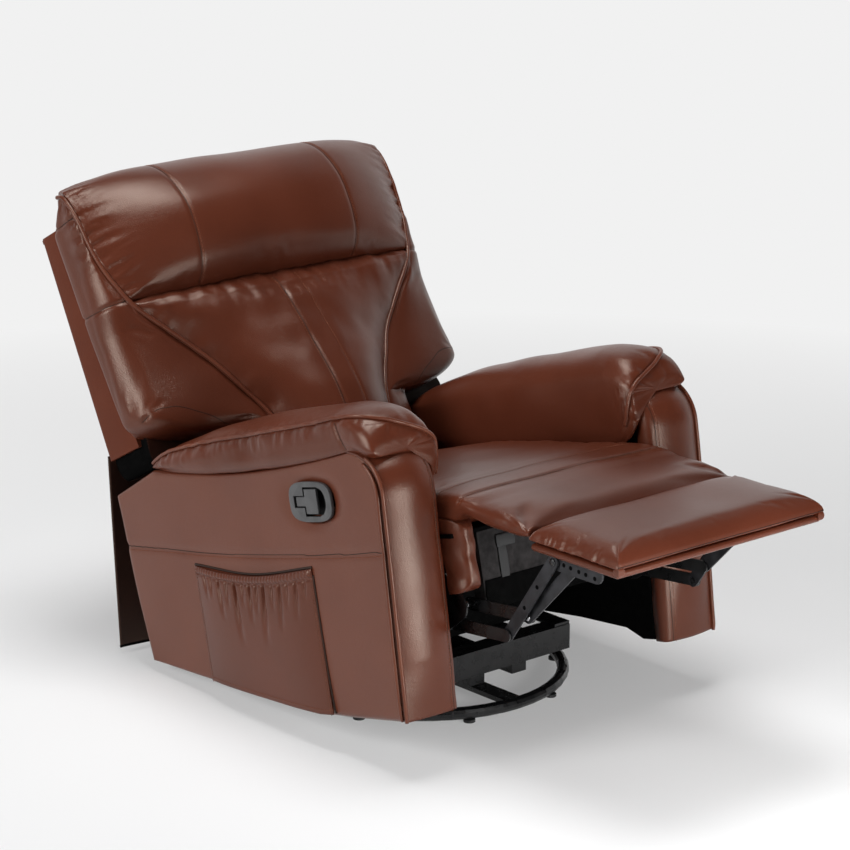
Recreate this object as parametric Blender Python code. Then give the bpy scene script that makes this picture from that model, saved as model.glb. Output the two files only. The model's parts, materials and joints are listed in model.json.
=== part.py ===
"""Swivel rocking recliner with a pull-handle footrest.

The chair stands with its back in the upright television position, its footrest out and its body rocked back
against the rear stop. The floor is Z = 0, the sitter looks along -Y, and the sitter's left hand is on +X.

The seat body is drawn level, in "level" coordinates whose floor is also Z = 0, and hangs from an empty on
the rocking axis that carries the rest tilt. The back is drawn upright under an empty on its hinge, and the
footrest is drawn flat under an empty on its bracket pivot.
"""
import math

import bmesh
import bpy
import numpy as np
from mathutils import Vector

# Driving dimensions, in metres and degrees.
CHAIR_W = 0.82              # over the outer faces of the arms
ARM_W = 0.135               # one arm, inner face to outer face
FIT = 0.0003                # gap between pieces that touch
REST_TILT = 13.0            # how far the body is rocked back
ROCK_AXIS_Z = 0.42          # centre of the rocker cams' arc above the floor

# Floor ring and swivel.
RING_R = 0.285              # centre line of the ring tube
RING_TUBE_R = 0.0125
GLIDE_H = 0.006
GLIDE_R = 0.012
GLIDE_COUNT = 8
SPOKE_W = 0.040
SPOKE_T = 0.010
HUB_R = 0.058
HUB_TOP_Z = 0.045
HUB_LIP = 0.002             # hub below the spokes
RACE_H = 0.006
RACE_BORE_R = 0.030
PIN_R = 0.012
PIN_RISE = 0.004            # king pin above the swivel plate
PIN_CLEARANCE = 0.0006
SWIVEL_PLATE_R = 0.092
SWIVEL_PLATE_T = 0.005

# Rocker base that turns on the swivel.
BEAM_W = 0.150
BEAM_H = 0.016
CHANNEL_Y = 0.205           # middle of the front and rear cross channels
CHANNEL_LEN = 0.390
CHANNEL_DEPTH = 0.044
CHANNEL_H = 0.052
CHANNEL_WALL = 0.004
TRACK_X = 0.175
TRACK_W = 0.040
TRACK_LEN = 0.450
TRACK_T = 0.006
CAM_T = 0.028
CAM_HALF_ANGLE = 34.0
SPRING_X = 0.115
SPRING_R = 0.0165
SPRING_WIRE_R = 0.0022
SPRING_TURNS = 5
SPRING_POINTS = 10

# Mechanism side plates and linkage, in level coordinates (y, z).
PLATE_T = 0.004
LAYER_GAP = 0.002           # free space between neighbouring links
PLATE_INSET = 0.017         # side plate inside the arm's inner face
PLATE_TOP_Z = 0.295
PLATE_LOW_Z = 0.160
PLATE_FRONT_Y = -0.320
PLATE_TOP_END = 0.110       # end of the plate's top edge ahead of the back hinge
WEB_FRONT_STEP = 0.060      # start of the web behind the lower pivot
WEB_FRONT_RISE = 0.030
WEB_REAR_STEP = 0.190       # end of the web ahead of the back hinge
WEB_REAR_RISE = 0.040
FLANGE_Z = 0.235
FLANGE_IN_X = 0.090
FLANGE_FRONT_Y = -0.205
FLANGE_REAR_Y = 0.300
LINK_W = 0.025
STUD_R = 0.0065
STUD_CLEARANCE = 0.0005
EAR_R = 0.026
LOWER_PIVOT = (-0.300, 0.190)
LOWER_LEN = 0.180
UPPER_LEN = 0.210
FOOT_PIVOT = (-0.634, 0.3075)
BRACE_PIVOT = (-0.360, 0.220)
LOWER_BRACE_LEN = 0.170
UPPER_BRACE_LEN = 0.180
BRACE_FOOT_STEP = 0.047     # brace pivot on the footrest bracket, ahead of the main pivot
DRIVE_TUBE_R = 0.011
DRIVE_TUBE = (-0.235, 0.266)

# Seat.
SEAT_FRONT_Y = -0.4256
SEAT_REAR_Y = 0.225
SEAT_RIM_Z = 0.430
SEAT_CROWN = 0.016
SEAT_BULGE = 0.004
DECK_Z = 0.362              # top of the seat deck
DECK_T = 0.008
DECK_REAR_Y = 0.300
RISER_W = 0.012             # deck riser outside the side plate
FRONT_RAIL_T = 0.030
FRONT_RAIL_Y = -0.392       # front face of the wooden front rail
FRONT_RAIL_LOW_Z = 0.205
BOLSTER_W = 0.062
BOLSTER_D = 0.040           # leather roll ahead of the front rail
BOLSTER_LAP = 0.003         # leather roll beside the front rail
BOLSTER_ROUND = 0.012
BOLSTER_LOW_Z = 0.238

# Arms, in level coordinates.
ARM_FOOT_Y = -0.345
ARM_BREAST_Y = -0.375       # foremost line of the arm
ARM_BREAST_Z = 0.461
ARM_BASE_Z = 0.030
ARM_FLAT_END_Y = -0.100     # the bottom edge runs level up to here, then rises
ARM_HEEL_Y = 0.462
ARM_HEEL_Z = 0.114
ARM_BACK_Y = 0.501
ARM_BACK_Z = 0.464
ARM_SHOULDER_Y = 0.357
PAD_LOW_Y = 0.150           # lowest point of the line that the pad sits on
PAD_LOW_Z = 0.506
NOSE_R = 0.0835             # rounding from the pad line down to the breast
PANEL_T = 0.022
FACING_T = 0.032
FACING_CROWN = 0.016
CORE_BASE_Z = 0.036
CORE_TOE = 0.045            # length of the step up behind the arm's toe
CORE_TOE_RISE = 0.022
CORE_BELLY_RISE = 0.040
CORE_SET_IN = 0.012
PAD_H = 0.095               # pad crown above its seat
PAD_DRAPE_Z = 0.456         # lower edge of the pad's drape inside the arm
PAD_OVER_IN = 0.026         # how far the pad stands inside the arm's inner face
PAD_OVER_OUT = 0.006
PAD_NOSE = 0.040            # pad ahead of the start of the nose rounding
PAD_END = 0.050             # length of the pad's rounded front end
PAD_TAPER = 0.260           # length of the fall towards its rear end
PAD_END_IN = 0.012
# The pad's section: steps in from its outer and inner sides, each with its share of the crown's height.
PAD_OUTER_STEPS = ((0.006, 0.0), (0.0, 0.35), (0.010, 0.72), (0.040, 0.94))
PAD_INNER_STEPS = ((0.035, 0.90), (0.008, 0.55), (0.0, 0.10))
PAD_DRAPE_IN = 0.001        # drape inside the pad's inner side, a third of the way up
PAD_HEM_IN = 0.010          # and at its lower edge
PAD_HEM_RISE = 0.004        # lower edge rising towards the arm

# Side pocket and release handle, on the sitter's right arm.
POCKET_FRONT_Y = -0.135
POCKET_REAR_Y = 0.246
POCKET_TOP_Z = 0.322
POCKET_SAG = 0.017
POCKET_HEM = 0.006          # pocket bottom above the panel's edge
POCKET_WALL = 0.004
HANDLE_Y = -0.165
HANDLE_Z = 0.4515
BEZEL_L = 0.128
BEZEL_H = 0.078
BEZEL_T = 0.007
BEZEL_RIM = 0.011
CUP_DEPTH = 0.014
CUP_WALL = 0.002
STEM_L = 0.030              # narrow rear part of the lever
STEM_H = 0.021
PADDLE_L = 0.042
PADDLE_H = 0.055
FINGER_GAP = 0.024          # open cup ahead of the paddle
LEVER_T = 0.006
LEVER_GAP = 0.0009
LEVER_SWING_GAP = 0.0016    # room behind the stem for its corner to turn

# Back, drawn upright: x across, n forward of the hinge plane, s up from the hinge.
BACK_PIVOT = (0.410, 0.4223)
BACK_LEAN = 14.6            # from level upright, on top of the rest tilt
SHELL_INSET = 0.010         # shell's side inside the arm's outer face
SHELL_WALL = 0.010
SHELL_REAR_N = -0.080
SHELL_LOW_S = 0.132
SHELL_TOP_S = 0.617
SHELL_LOW_N = 0.044         # front edge of the shell's sides, at the bottom
SHELL_TOP_N = -0.009        # and at the top
SHELL_EDGE_R = 0.016
POST_CLEAR = 0.001          # post inside the arm's inner face, where it swings past
POST_T = 0.025
POST_LOW_S = 0.055
BACK_RAIL_H = 0.045
BRACKET_W = 0.044
RAIL_LIFT = 0.010           # lowest back rail above the shell's bottom edge
SOFT_GAP = 0.001            # between neighbouring back cushions
# The welt between the middle cushions and the wings, from the seat up: height, how far inside the arm's
# outer face, and depth.
WELT_S = (-0.020, 0.130, 0.253, 0.338, 0.410, 0.460, 0.509, 0.602, 0.667, 0.704)
WELT_INSET = (0.295, 0.255, 0.181, 0.107, 0.044, 0.024, 0.010, 0.001, -0.002, -0.002)
WELT_N = (0.190, 0.170, 0.145, 0.133, 0.126, 0.115, 0.107, 0.094, 0.071, 0.054)
LUMBAR_CROWN = 0.088        # over the welts, at its fullest
LUMBAR_FULL = 0.30          # share of the height where it is fullest
LUMBAR_TUCK = 0.060
HEADREST_LOW_S = 0.412
HEADREST_TOP_S = 0.704
HEADREST_CROWN = 0.107
HEADREST_END_DROP = 0.034
HEADREST_OVERHANG = 0.047   # how far it lies back over the shell's top
WING_LOW_S = 0.146          # where the wing starts to spread over the arm
WING_TOP_S = 0.662
WING_OVER = 0.014           # wing outside the arm's outer face
WING_TOP_OVER = 0.008
WING_BULGE = 0.022
WING_FALL = 0.030
WING_ROUND = 0.060          # height over which the wing's lower corner rounds out
FLAP_T = 0.004
FLAP_INSET = 0.002          # flap's edge inside the shell's side
FLAP_LOW_Z = 0.013
FLAP_LEAN = 0.025
FLAP_FOLD = 0.006
FLAP_FOLD_COUNT = 5

# Footrest, drawn flat: y and z from the bracket pivot.
FOOT_INSET = 0.009          # footrest's end inside the arm's inner face
FOOT_LEN = 0.228
FOOT_FRONT = -0.189         # front edge ahead of the pivot
BOARD_T = 0.014
BOARD_LOW = 0.0168          # board's underside above the pivot
FOOT_PAD_T = 0.030
FOOT_PAD_CROWN = 0.009
FOOT_PAD_BULGE = 0.004
ANGLE_T = 0.0025
ANGLE_W = 0.034
ANGLE_NOSE = 0.060          # bracket ahead of the brace pivot
ANGLE_EDGE = 0.004          # bracket's web beyond the width of a link
CHAISE_PIVOT = (-0.4331, 0.402)
CHAISE_T = 0.028
CHAISE_INSET = 0.007
CHAISE_CROWN = 0.006
CHAISE_BULGE = 0.003

LEFT = 1
RIGHT = -1
SIDE_NAME = {LEFT: "left", RIGHT: "right"}

TILT = math.radians(REST_TILT)
X_OUT = CHAIR_W / 2
X_IN = X_OUT - ARM_W
shell_half = X_OUT - SHELL_INSET
foot_half = X_IN - FOOT_INSET
chaise_half = X_IN - CHAISE_INSET
wing_x = X_OUT + WING_OVER


# Scene, materials and placing.
for old in list(bpy.data.objects):
    bpy.data.objects.remove(old, do_unlink=True)


def linear(channel):
    """One sRGB channel, 0 to 255, as linear light."""
    share = channel / 255
    if share <= 0.04045:
        return share / 12.92
    return ((share + 0.055) / 1.055) ** 2.4


def finish(name, colour, roughness, metallic=0.0):
    material = bpy.data.materials.new(name)
    material.use_nodes = True
    shader = material.node_tree.nodes["Principled BSDF"]
    shader.inputs["Base Color"].default_value = [linear(c) for c in colour] + [1.0]
    shader.inputs["Roughness"].default_value = roughness
    shader.inputs["Metallic"].default_value = metallic
    material.diffuse_color = [linear(c) for c in colour] + [1.0]
    return material


LEATHER = finish("brown_leather", (104, 58, 42), 0.42)
WELT_BROWN = finish("dark_brown_leather", (84, 46, 34), 0.46)
BLACK_STEEL = finish("black_painted_steel", (24, 24, 26), 0.38, 0.6)
GREY_STEEL = finish("grey_link_steel", (92, 92, 96), 0.40, 0.9)
SPRING_STEEL = finish("spring_steel", (120, 120, 124), 0.35, 1.0)
WOOD = finish("frame_wood", (176, 142, 100), 0.65)
LINING = finish("black_lining", (26, 25, 25), 0.90)
GREY_CLOTH = finish("grey_front_cloth", (92, 92, 95), 0.92)
GREY_PLASTIC = finish("grey_handle_plastic", (58, 59, 62), 0.40)
BLACK_PLASTIC = finish("black_glide_plastic", (30, 30, 31), 0.55)


class Rig:
    """An empty on a joint's axis, and the drawing coordinates that its pieces use."""

    def __init__(self, name, origin, turn_x=0.0, parent=None):
        self.origin = Vector(origin)
        self.empty = bpy.data.objects.new(name, None)
        bpy.context.collection.objects.link(self.empty)
        self.empty.location = self.origin
        if parent is not None:
            self.empty.parent = parent.empty
            self.empty.location = self.origin - parent.draw_origin
        self.empty.rotation_euler = (turn_x, 0.0, 0.0)
        self.draw_origin = Vector((0.0, 0.0, 0.0))

    def carry(self, piece):
        piece.parent = self.empty
        piece.location = piece.location - self.draw_origin


def piece_from(name, mesh_data, material, rig, smooth_angle=35.0):
    """Turn a bmesh into a named object with outward faces, carried by a rig."""
    bmesh.ops.recalc_face_normals(mesh_data, faces=mesh_data.faces)
    mesh = bpy.data.meshes.new(name)
    mesh_data.to_mesh(mesh)
    mesh_data.free()
    mesh.shade_smooth()
    mesh.set_sharp_from_angle(angle=math.radians(smooth_angle))
    mesh.materials.append(material)
    piece = bpy.data.objects.new(name, mesh)
    bpy.context.collection.objects.link(piece)
    if rig is not None:
        rig.carry(piece)
    return piece


def loft_mesh(rings, fan_caps=True, loop=False):
    """Skin a list of equal rings of points, with capped ends unless the list itself is a loop."""
    mesh = bmesh.new()
    rows = [[mesh.verts.new(point) for point in ring] for ring in rings]
    count = len(rows[0])
    spans = len(rows) if loop else len(rows) - 1
    for row in range(spans):
        here = rows[row]
        there = rows[(row + 1) % len(rows)]
        for i in range(count):
            j = (i + 1) % count
            mesh.faces.new((here[i], here[j], there[j], there[i]))
    if loop:
        return mesh
    for row in (rows[0], rows[-1]):
        if not fan_caps:
            mesh.faces.new(row)
            continue
        middle = mesh.verts.new(sum((v.co for v in row), Vector()) / count)
        for i in range(count):
            mesh.faces.new((row[i], row[(i + 1) % count], middle))
    return mesh


def prism(name, outline, x0, x1, material, rig):
    """An outline of (y, z) points pushed along x."""
    rings = [[(x, y, z) for y, z in outline] for x in (x0, x1)]
    return piece_from(name, loft_mesh(rings, fan_caps=False), material, rig)


def block(name, low, high, material, rig):
    outline = [(low[1], low[2]), (high[1], low[2]), (high[1], high[2]), (low[1], high[2])]
    return prism(name, outline, low[0], high[0], material, rig)


def turned(name, profile, material, rig, sides=40, centre=(0.0, 0.0)):
    """A closed (radius, z) profile that stays off the axis, turned about Z."""
    rings = []
    for step in range(sides):
        angle = 2 * math.pi * step / sides
        ring = []
        for radius, z in profile:
            x = centre[0] + radius * math.cos(angle)
            y = centre[1] + radius * math.sin(angle)
            ring.append((x, y, z))
        rings.append(ring)
    return piece_from(name, loft_mesh(rings, loop=True), material, rig)


def circle(centre, radius, sides, start=0.0):
    points = []
    for step in range(sides):
        angle = start + 2 * math.pi * step / sides
        points.append((centre[0] + radius * math.cos(angle), centre[1] + radius * math.sin(angle)))
    return points


def arc(centre, radius, start, end, steps):
    """Points on an arc, in degrees counted from +y towards +z."""
    points = []
    for step in range(steps + 1):
        angle = math.radians(start + (end - start) * step / steps)
        points.append((centre[0] + radius * math.cos(angle), centre[1] + radius * math.sin(angle)))
    return points


def cut_or_join(piece, tool, operation):
    """Keep a Boolean on the piece, with its tool shown as a wire guide."""
    tool.hide_render = True
    tool.display_type = "WIRE"
    modifier = piece.modifiers.new(tool.name, "BOOLEAN")
    modifier.operation = operation
    modifier.object = tool


def crown(share):
    """Swell across a cushion: 0 at both edges, 1 in the middle, full near the edges."""
    return 1 - abs(2 * share - 1) ** 2.6


def level_to_floor(y, z):
    """A point of the level body as it lies when rocked back, from the swivel axis."""
    rise = z - ROCK_AXIS_Z
    return (y * math.cos(TILT) + rise * math.sin(TILT),
            ROCK_AXIS_Z - y * math.sin(TILT) + rise * math.cos(TILT))


# The swivel axis stands so far behind the middle of the chair's length.
LEAN = TILT + math.radians(BACK_LEAN)
front_y = level_to_floor(*FOOT_PIVOT)[0] + FOOT_FRONT
rear_y = level_to_floor(*BACK_PIVOT)[0] + SHELL_TOP_S * math.sin(LEAN) - SHELL_REAR_N * math.cos(LEAN)
swivel_y = -(front_y + rear_y) / 2

# Rigs, one on each joint's axis.
floor_rig = Rig("floor", (0, swivel_y, 0))
turntable_rig = Rig("swivel_axis", (0, swivel_y, 0))
chair_rig = Rig("rock_axis", (0, 0, ROCK_AXIS_Z), -TILT, turntable_rig)
chair_rig.draw_origin = Vector((0, 0, ROCK_AXIS_Z))
back_rig = Rig("back_hinge_axis", (0, *BACK_PIVOT), -math.radians(BACK_LEAN), chair_rig)
foot_rig = Rig("footrest_pivot_axis", (0, *FOOT_PIVOT), TILT, chair_rig)


# Floor ring, glides and swivel.
ring_z = GLIDE_H + FIT + RING_TUBE_R
race_low = HUB_TOP_Z + FIT
race_top = race_low + RACE_H
plate_low = race_top + FIT
plate_top = plate_low + SWIVEL_PLATE_T


def floor_ring():
    rings = []
    for step in range(48):
        angle = 2 * math.pi * step / 48
        outward = Vector((math.cos(angle), math.sin(angle), 0))
        ring = []
        for r, z in circle((RING_R, ring_z), RING_TUBE_R, 12, math.pi / 12):
            ring.append(outward * r + Vector((0, 0, z)))
        rings.append(ring)
    ring = piece_from("base_ring", loft_mesh(rings, loop=True), BLACK_STEEL, floor_rig)
    low = ring_z - SPOKE_T / 2
    high = ring_z + SPOKE_T / 2
    reach = RING_R
    half = SPOKE_W / 2
    bar_y = block("spoke_bar_fore_aft", (-half, -reach, low), (half, reach, high), BLACK_STEEL, floor_rig)
    bar_x = block("spoke_bar_across", (-reach, -half, low), (reach, half, high), BLACK_STEEL, floor_rig)
    hub_rings = [[(x, y, z) for x, y in circle((0, 0), HUB_R, 40)] for z in (low - HUB_LIP, HUB_TOP_Z)]
    hub = piece_from("ring_hub", loft_mesh(hub_rings), BLACK_STEEL, floor_rig)
    pin_rings = [[(x, y, z) for x, y in circle((0, 0), PIN_R, 24)] for z in (ring_z, plate_top + PIN_RISE)]
    pin = piece_from("king_pin", loft_mesh(pin_rings), BLACK_STEEL, floor_rig)
    for tool in (bar_y, bar_x, hub, pin):
        cut_or_join(ring, tool, "UNION")


def glides():
    for i in range(GLIDE_COUNT):
        angle = 2 * math.pi * (i + 0.5) / GLIDE_COUNT
        centre = (RING_R * math.cos(angle), RING_R * math.sin(angle))
        rings = [[(x, y, z) for x, y in circle(centre, GLIDE_R, 16)] for z in (0.0, GLIDE_H)]
        piece_from(f"glide_{i + 1}", loft_mesh(rings), BLACK_PLASTIC, floor_rig)


def swivel_race():
    race = [(RACE_BORE_R, race_low), (HUB_R, race_low), (HUB_R, race_top), (RACE_BORE_R, race_top)]
    turned("swivel_race", race, BLACK_STEEL, floor_rig)


floor_ring()
glides()
swivel_race()


# Rocker base on the swivel.
beam_top = plate_top + BEAM_H
channel_low = beam_top + FIT
channel_top = channel_low + CHANNEL_H
track_low = channel_top + FIT
track_top = track_low + TRACK_T
cam_r = ROCK_AXIS_Z - track_top - FIT


def swivel_plate():
    bore = PIN_R + PIN_CLEARANCE
    profile = [(bore, plate_low), (SWIVEL_PLATE_R, plate_low), (SWIVEL_PLATE_R, plate_top), (bore, plate_top)]
    plate = turned("swivel_plate", profile, BLACK_STEEL, turntable_rig)
    reach = CHANNEL_Y + CHANNEL_DEPTH / 2
    inner = PIN_R + 2 * RING_TUBE_R
    for side in (LEFT, RIGHT):
        xs = sorted((side * inner, side * BEAM_W / 2))
        low = (xs[0], -reach, plate_low + SWIVEL_PLATE_T / 2)
        high = (xs[1], reach, beam_top)
        beam = block(f"plate_beam_{SIDE_NAME[side]}", low, high, BLACK_STEEL, turntable_rig)
        cut_or_join(plate, beam, "UNION")


def cross_channel(name, facing):
    """A steel channel across the base, open towards the middle of the chair."""
    outer = facing * (CHANNEL_Y + CHANNEL_DEPTH / 2)
    inner = facing * (CHANNEL_Y - CHANNEL_DEPTH / 2)
    wall = facing * CHANNEL_WALL
    low = channel_low + CHANNEL_WALL
    high = channel_top - CHANNEL_WALL
    outline = [(outer, channel_low), (inner, channel_low), (inner, low), (outer - wall, low),
               (outer - wall, high), (inner, high), (inner, channel_top), (outer, channel_top)]
    prism(name, outline, -CHANNEL_LEN / 2, CHANNEL_LEN / 2, BLACK_STEEL, turntable_rig)


def rocker_tracks():
    for side in (LEFT, RIGHT):
        xs = sorted((side * (TRACK_X - TRACK_W / 2), side * (TRACK_X + TRACK_W / 2)))
        low = (xs[0], -TRACK_LEN / 2, track_low)
        high = (xs[1], TRACK_LEN / 2, track_top)
        block(f"rocker_track_{SIDE_NAME[side]}", low, high, BLACK_STEEL, turntable_rig)


def flange_underside(y):
    """Height of the mechanism flange above the floor at rest, at floor distance y."""
    return ROCK_AXIS_Z + (FLANGE_Z - ROCK_AXIS_Z - y * math.sin(TILT)) / math.cos(TILT)


def rocker_springs():
    """Compression springs between the rear channel and the tilted flange above it."""
    low = channel_top + FIT + SPRING_WIRE_R
    reach = CHANNEL_Y + SPRING_R + SPRING_WIRE_R
    high = flange_underside(reach) - FIT - SPRING_WIRE_R / math.cos(TILT)
    count = SPRING_TURNS * SPRING_POINTS + 1
    for side in (LEFT, RIGHT):
        curve = bpy.data.curves.new(f"rocker_spring_{SIDE_NAME[side]}", "CURVE")
        curve.dimensions = "3D"
        curve.bevel_depth = SPRING_WIRE_R
        curve.bevel_resolution = 1
        curve.use_fill_caps = True
        curve.materials.append(SPRING_STEEL)
        spline = curve.splines.new("POLY")
        spline.points.add(count - 1)
        points = []
        for i in range(count):
            angle = 2 * math.pi * i / SPRING_POINTS
            points.append((side * SPRING_X + SPRING_R * math.cos(angle),
                           CHANNEL_Y + SPRING_R * math.sin(angle),
                           low + (high - low) * i / (count - 1)))
        for point, place in zip(spline.points, points):
            point.co = (*place, 1.0)
        spring = bpy.data.objects.new(curve.name, curve)
        bpy.context.collection.objects.link(spring)
        turntable_rig.carry(spring)
        path = np.array(points)
        gaps = [np.linalg.norm(path[i + SPRING_POINTS // 2 + 1:] - path[i], axis=1).min()
                for i in range(count - SPRING_POINTS // 2 - 1)]
        print(f"{curve.name}: least gap to itself {1000 * (min(gaps) - 2 * SPRING_WIRE_R):.2f} mm")


swivel_plate()
cross_channel("front_channel", -1)
cross_channel("rear_channel", 1)
rocker_tracks()
rocker_springs()


# Rocker cams, side plates and drive tube.
def rocker_cams():
    top = FLANGE_Z - FIT
    face = arc((0, ROCK_AXIS_Z), cam_r, 270 - CAM_HALF_ANGLE, 270 + CAM_HALF_ANGLE, 20)
    outline = face + [(face[-1][0], top), (face[0][0], top)]
    for side in (LEFT, RIGHT):
        xs = sorted((side * (TRACK_X - CAM_T / 2), side * (TRACK_X + CAM_T / 2)))
        prism(f"rocker_cam_{SIDE_NAME[side]}", outline, *xs, BLACK_STEEL, chair_rig)


def stud(name, centre, x0, x1, rig, radius=STUD_R):
    rings = [[(x, y, z) for y, z in circle(centre, radius, 16)] for x in (x0, x1)]
    tool = piece_from(name, loft_mesh(rings), BLACK_STEEL, rig)
    return tool


def layer(index):
    """Inner and outer |x| of a link layer, counted inwards from the side plate (layer 0)."""
    outer = X_IN - PLATE_INSET - index * (PLATE_T + LAYER_GAP)
    return outer - PLATE_T, outer


LOWER_LAYER = 1
UPPER_LAYER = 2
BRACKET_LAYER = 3
UPPER_BRACE_LAYER = 4
LOWER_BRACE_LAYER = 5


def side_plate_outline():
    """Mechanism plate: linkage ear in front, long web, and a rear ear that rises to the back hinge."""
    front = arc(BRACE_PIVOT, EAR_R, 150, 240, 5) + arc(LOWER_PIVOT, EAR_R, 240, 300, 4)
    rear = arc(BACK_PIVOT, EAR_R, 330, 480, 8)
    web_low_front = (LOWER_PIVOT[0] + WEB_FRONT_STEP, PLATE_LOW_Z + WEB_FRONT_RISE)
    web_low_rear = (BACK_PIVOT[0] - WEB_REAR_STEP, PLATE_LOW_Z + WEB_REAR_RISE)
    return (front + [web_low_front, web_low_rear] + rear
            + [(BACK_PIVOT[0] - PLATE_TOP_END, PLATE_TOP_Z), (PLATE_FRONT_Y, PLATE_TOP_Z)])


def side_plates():
    outer_layer = layer(0)
    for side in (LEFT, RIGHT):
        tag = SIDE_NAME[side]
        xs = sorted(side * x for x in outer_layer)
        plate = prism(f"side_plate_{tag}", side_plate_outline(), *xs, BLACK_STEEL, chair_rig)
        flange_xs = sorted((side * FLANGE_IN_X, side * (outer_layer[0] + PLATE_T / 2)))
        flange = block(f"plate_flange_{tag}", (flange_xs[0], FLANGE_FRONT_Y, FLANGE_Z),
                       (flange_xs[1], FLANGE_REAR_Y, FLANGE_Z + PLATE_T), BLACK_STEEL, chair_rig)
        cut_or_join(plate, flange, "UNION")
        lower_tip = layer(LOWER_LAYER)[0] - LAYER_GAP / 2
        brace_tip = layer(LOWER_BRACE_LAYER)[0] - LAYER_GAP / 2
        root = side * (outer_layer[0] + PLATE_T / 2)
        for label, centre, tip in (("link", LOWER_PIVOT, lower_tip), ("brace", BRACE_PIVOT, brace_tip)):
            pin = stud(f"plate_{label}_stud_{tag}", centre, side * tip, root, chair_rig)
            cut_or_join(plate, pin, "UNION")
        hole = stud(f"plate_back_hole_{tag}", BACK_PIVOT, side * (outer_layer[0] - PLATE_T),
                    side * (outer_layer[1] + PLATE_T), chair_rig, STUD_R + STUD_CLEARANCE)
        cut_or_join(plate, hole, "DIFFERENCE")


def drive_tube():
    reach = layer(0)[0] - FIT
    rings = [[(x, y, z) for y, z in circle(DRIVE_TUBE, DRIVE_TUBE_R, 20)] for x in (-reach, reach)]
    piece_from("drive_tube", loft_mesh(rings), GREY_STEEL, chair_rig)


rocker_cams()
side_plates()
drive_tube()


# Footrest linkage: two bars per side and two braces per side.
def elbow(root, tip, first, second):
    """Where two bars of given length meet, on the low side of the line from root to tip."""
    span = Vector((tip[0] - root[0], tip[1] - root[1]))
    along = (first ** 2 - second ** 2 + span.length ** 2) / (2 * span.length)
    off = math.sqrt(first ** 2 - along ** 2)
    unit = span.normalized()
    return (root[0] + along * unit.x - off * unit.y, root[1] + along * unit.y + off * unit.x)


def foot_point(ahead, up):
    """A point of the flat footrest, from its pivot, in level coordinates."""
    return (FOOT_PIVOT[0] - ahead * math.cos(TILT) - up * math.sin(TILT),
            FOOT_PIVOT[1] - ahead * math.sin(TILT) + up * math.cos(TILT))


BRACE_FOOT = foot_point(BRACE_FOOT_STEP, 0.0)
LINK_ELBOW = elbow(LOWER_PIVOT, FOOT_PIVOT, LOWER_LEN, UPPER_LEN)
BRACE_ELBOW = elbow(BRACE_PIVOT, BRACE_FOOT, LOWER_BRACE_LEN, UPPER_BRACE_LEN)
print("link elbow", [round(v, 4) for v in LINK_ELBOW], "brace elbow", [round(v, 4) for v in BRACE_ELBOW])


def bar(name, root, tip, layer_index, side, root_bore, tip_bore, tip_stud_layer=None):
    """A flat bar with round ends that turns about its root, with a bore or a stud at each end."""
    length = math.dist(root, tip)
    angle = math.atan2(tip[1] - root[1], tip[0] - root[0])
    rig = Rig(f"{name}_axis", (0, *root), angle, chair_rig)
    half = LINK_W / 2
    outline = arc((0, 0), half, 90, 270, 8) + arc((length, 0), half, -90, 90, 8)
    xs = sorted(side * x for x in layer(layer_index))
    body = prism(name, outline, *xs, GREY_STEEL, rig)
    inner, outer = layer(layer_index)
    for label, place, bore in (("root", 0.0, root_bore), ("tip", length, tip_bore)):
        if bore:
            hole = stud(f"{name}_{label}_bore", (place, 0), side * (inner - PLATE_T),
                        side * (outer + PLATE_T), rig, STUD_R + STUD_CLEARANCE)
            cut_or_join(body, hole, "DIFFERENCE")
    if tip_stud_layer is not None:
        far = layer(tip_stud_layer)
        if tip_stud_layer > layer_index:
            start, end = inner + PLATE_T / 2, far[0] - LAYER_GAP / 2
        else:
            start, end = outer - PLATE_T / 2, far[1] + LAYER_GAP / 2
        pin = stud(f"{name}_tip_stud", (length, 0), side * start, side * end, rig)
        cut_or_join(body, pin, "UNION")
    return body


for side in (LEFT, RIGHT):
    tag = SIDE_NAME[side]
    bar(f"lower_link_{tag}", LOWER_PIVOT, LINK_ELBOW, LOWER_LAYER, side, True, False, UPPER_LAYER)
    bar(f"upper_link_{tag}", LINK_ELBOW, FOOT_PIVOT, UPPER_LAYER, side, True, True)
    bar(f"lower_brace_{tag}", BRACE_PIVOT, BRACE_ELBOW, LOWER_BRACE_LAYER, side, True, False,
        UPPER_BRACE_LAYER)
    bar(f"upper_brace_{tag}", BRACE_ELBOW, BRACE_FOOT, UPPER_BRACE_LAYER, side, True, False)


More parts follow.
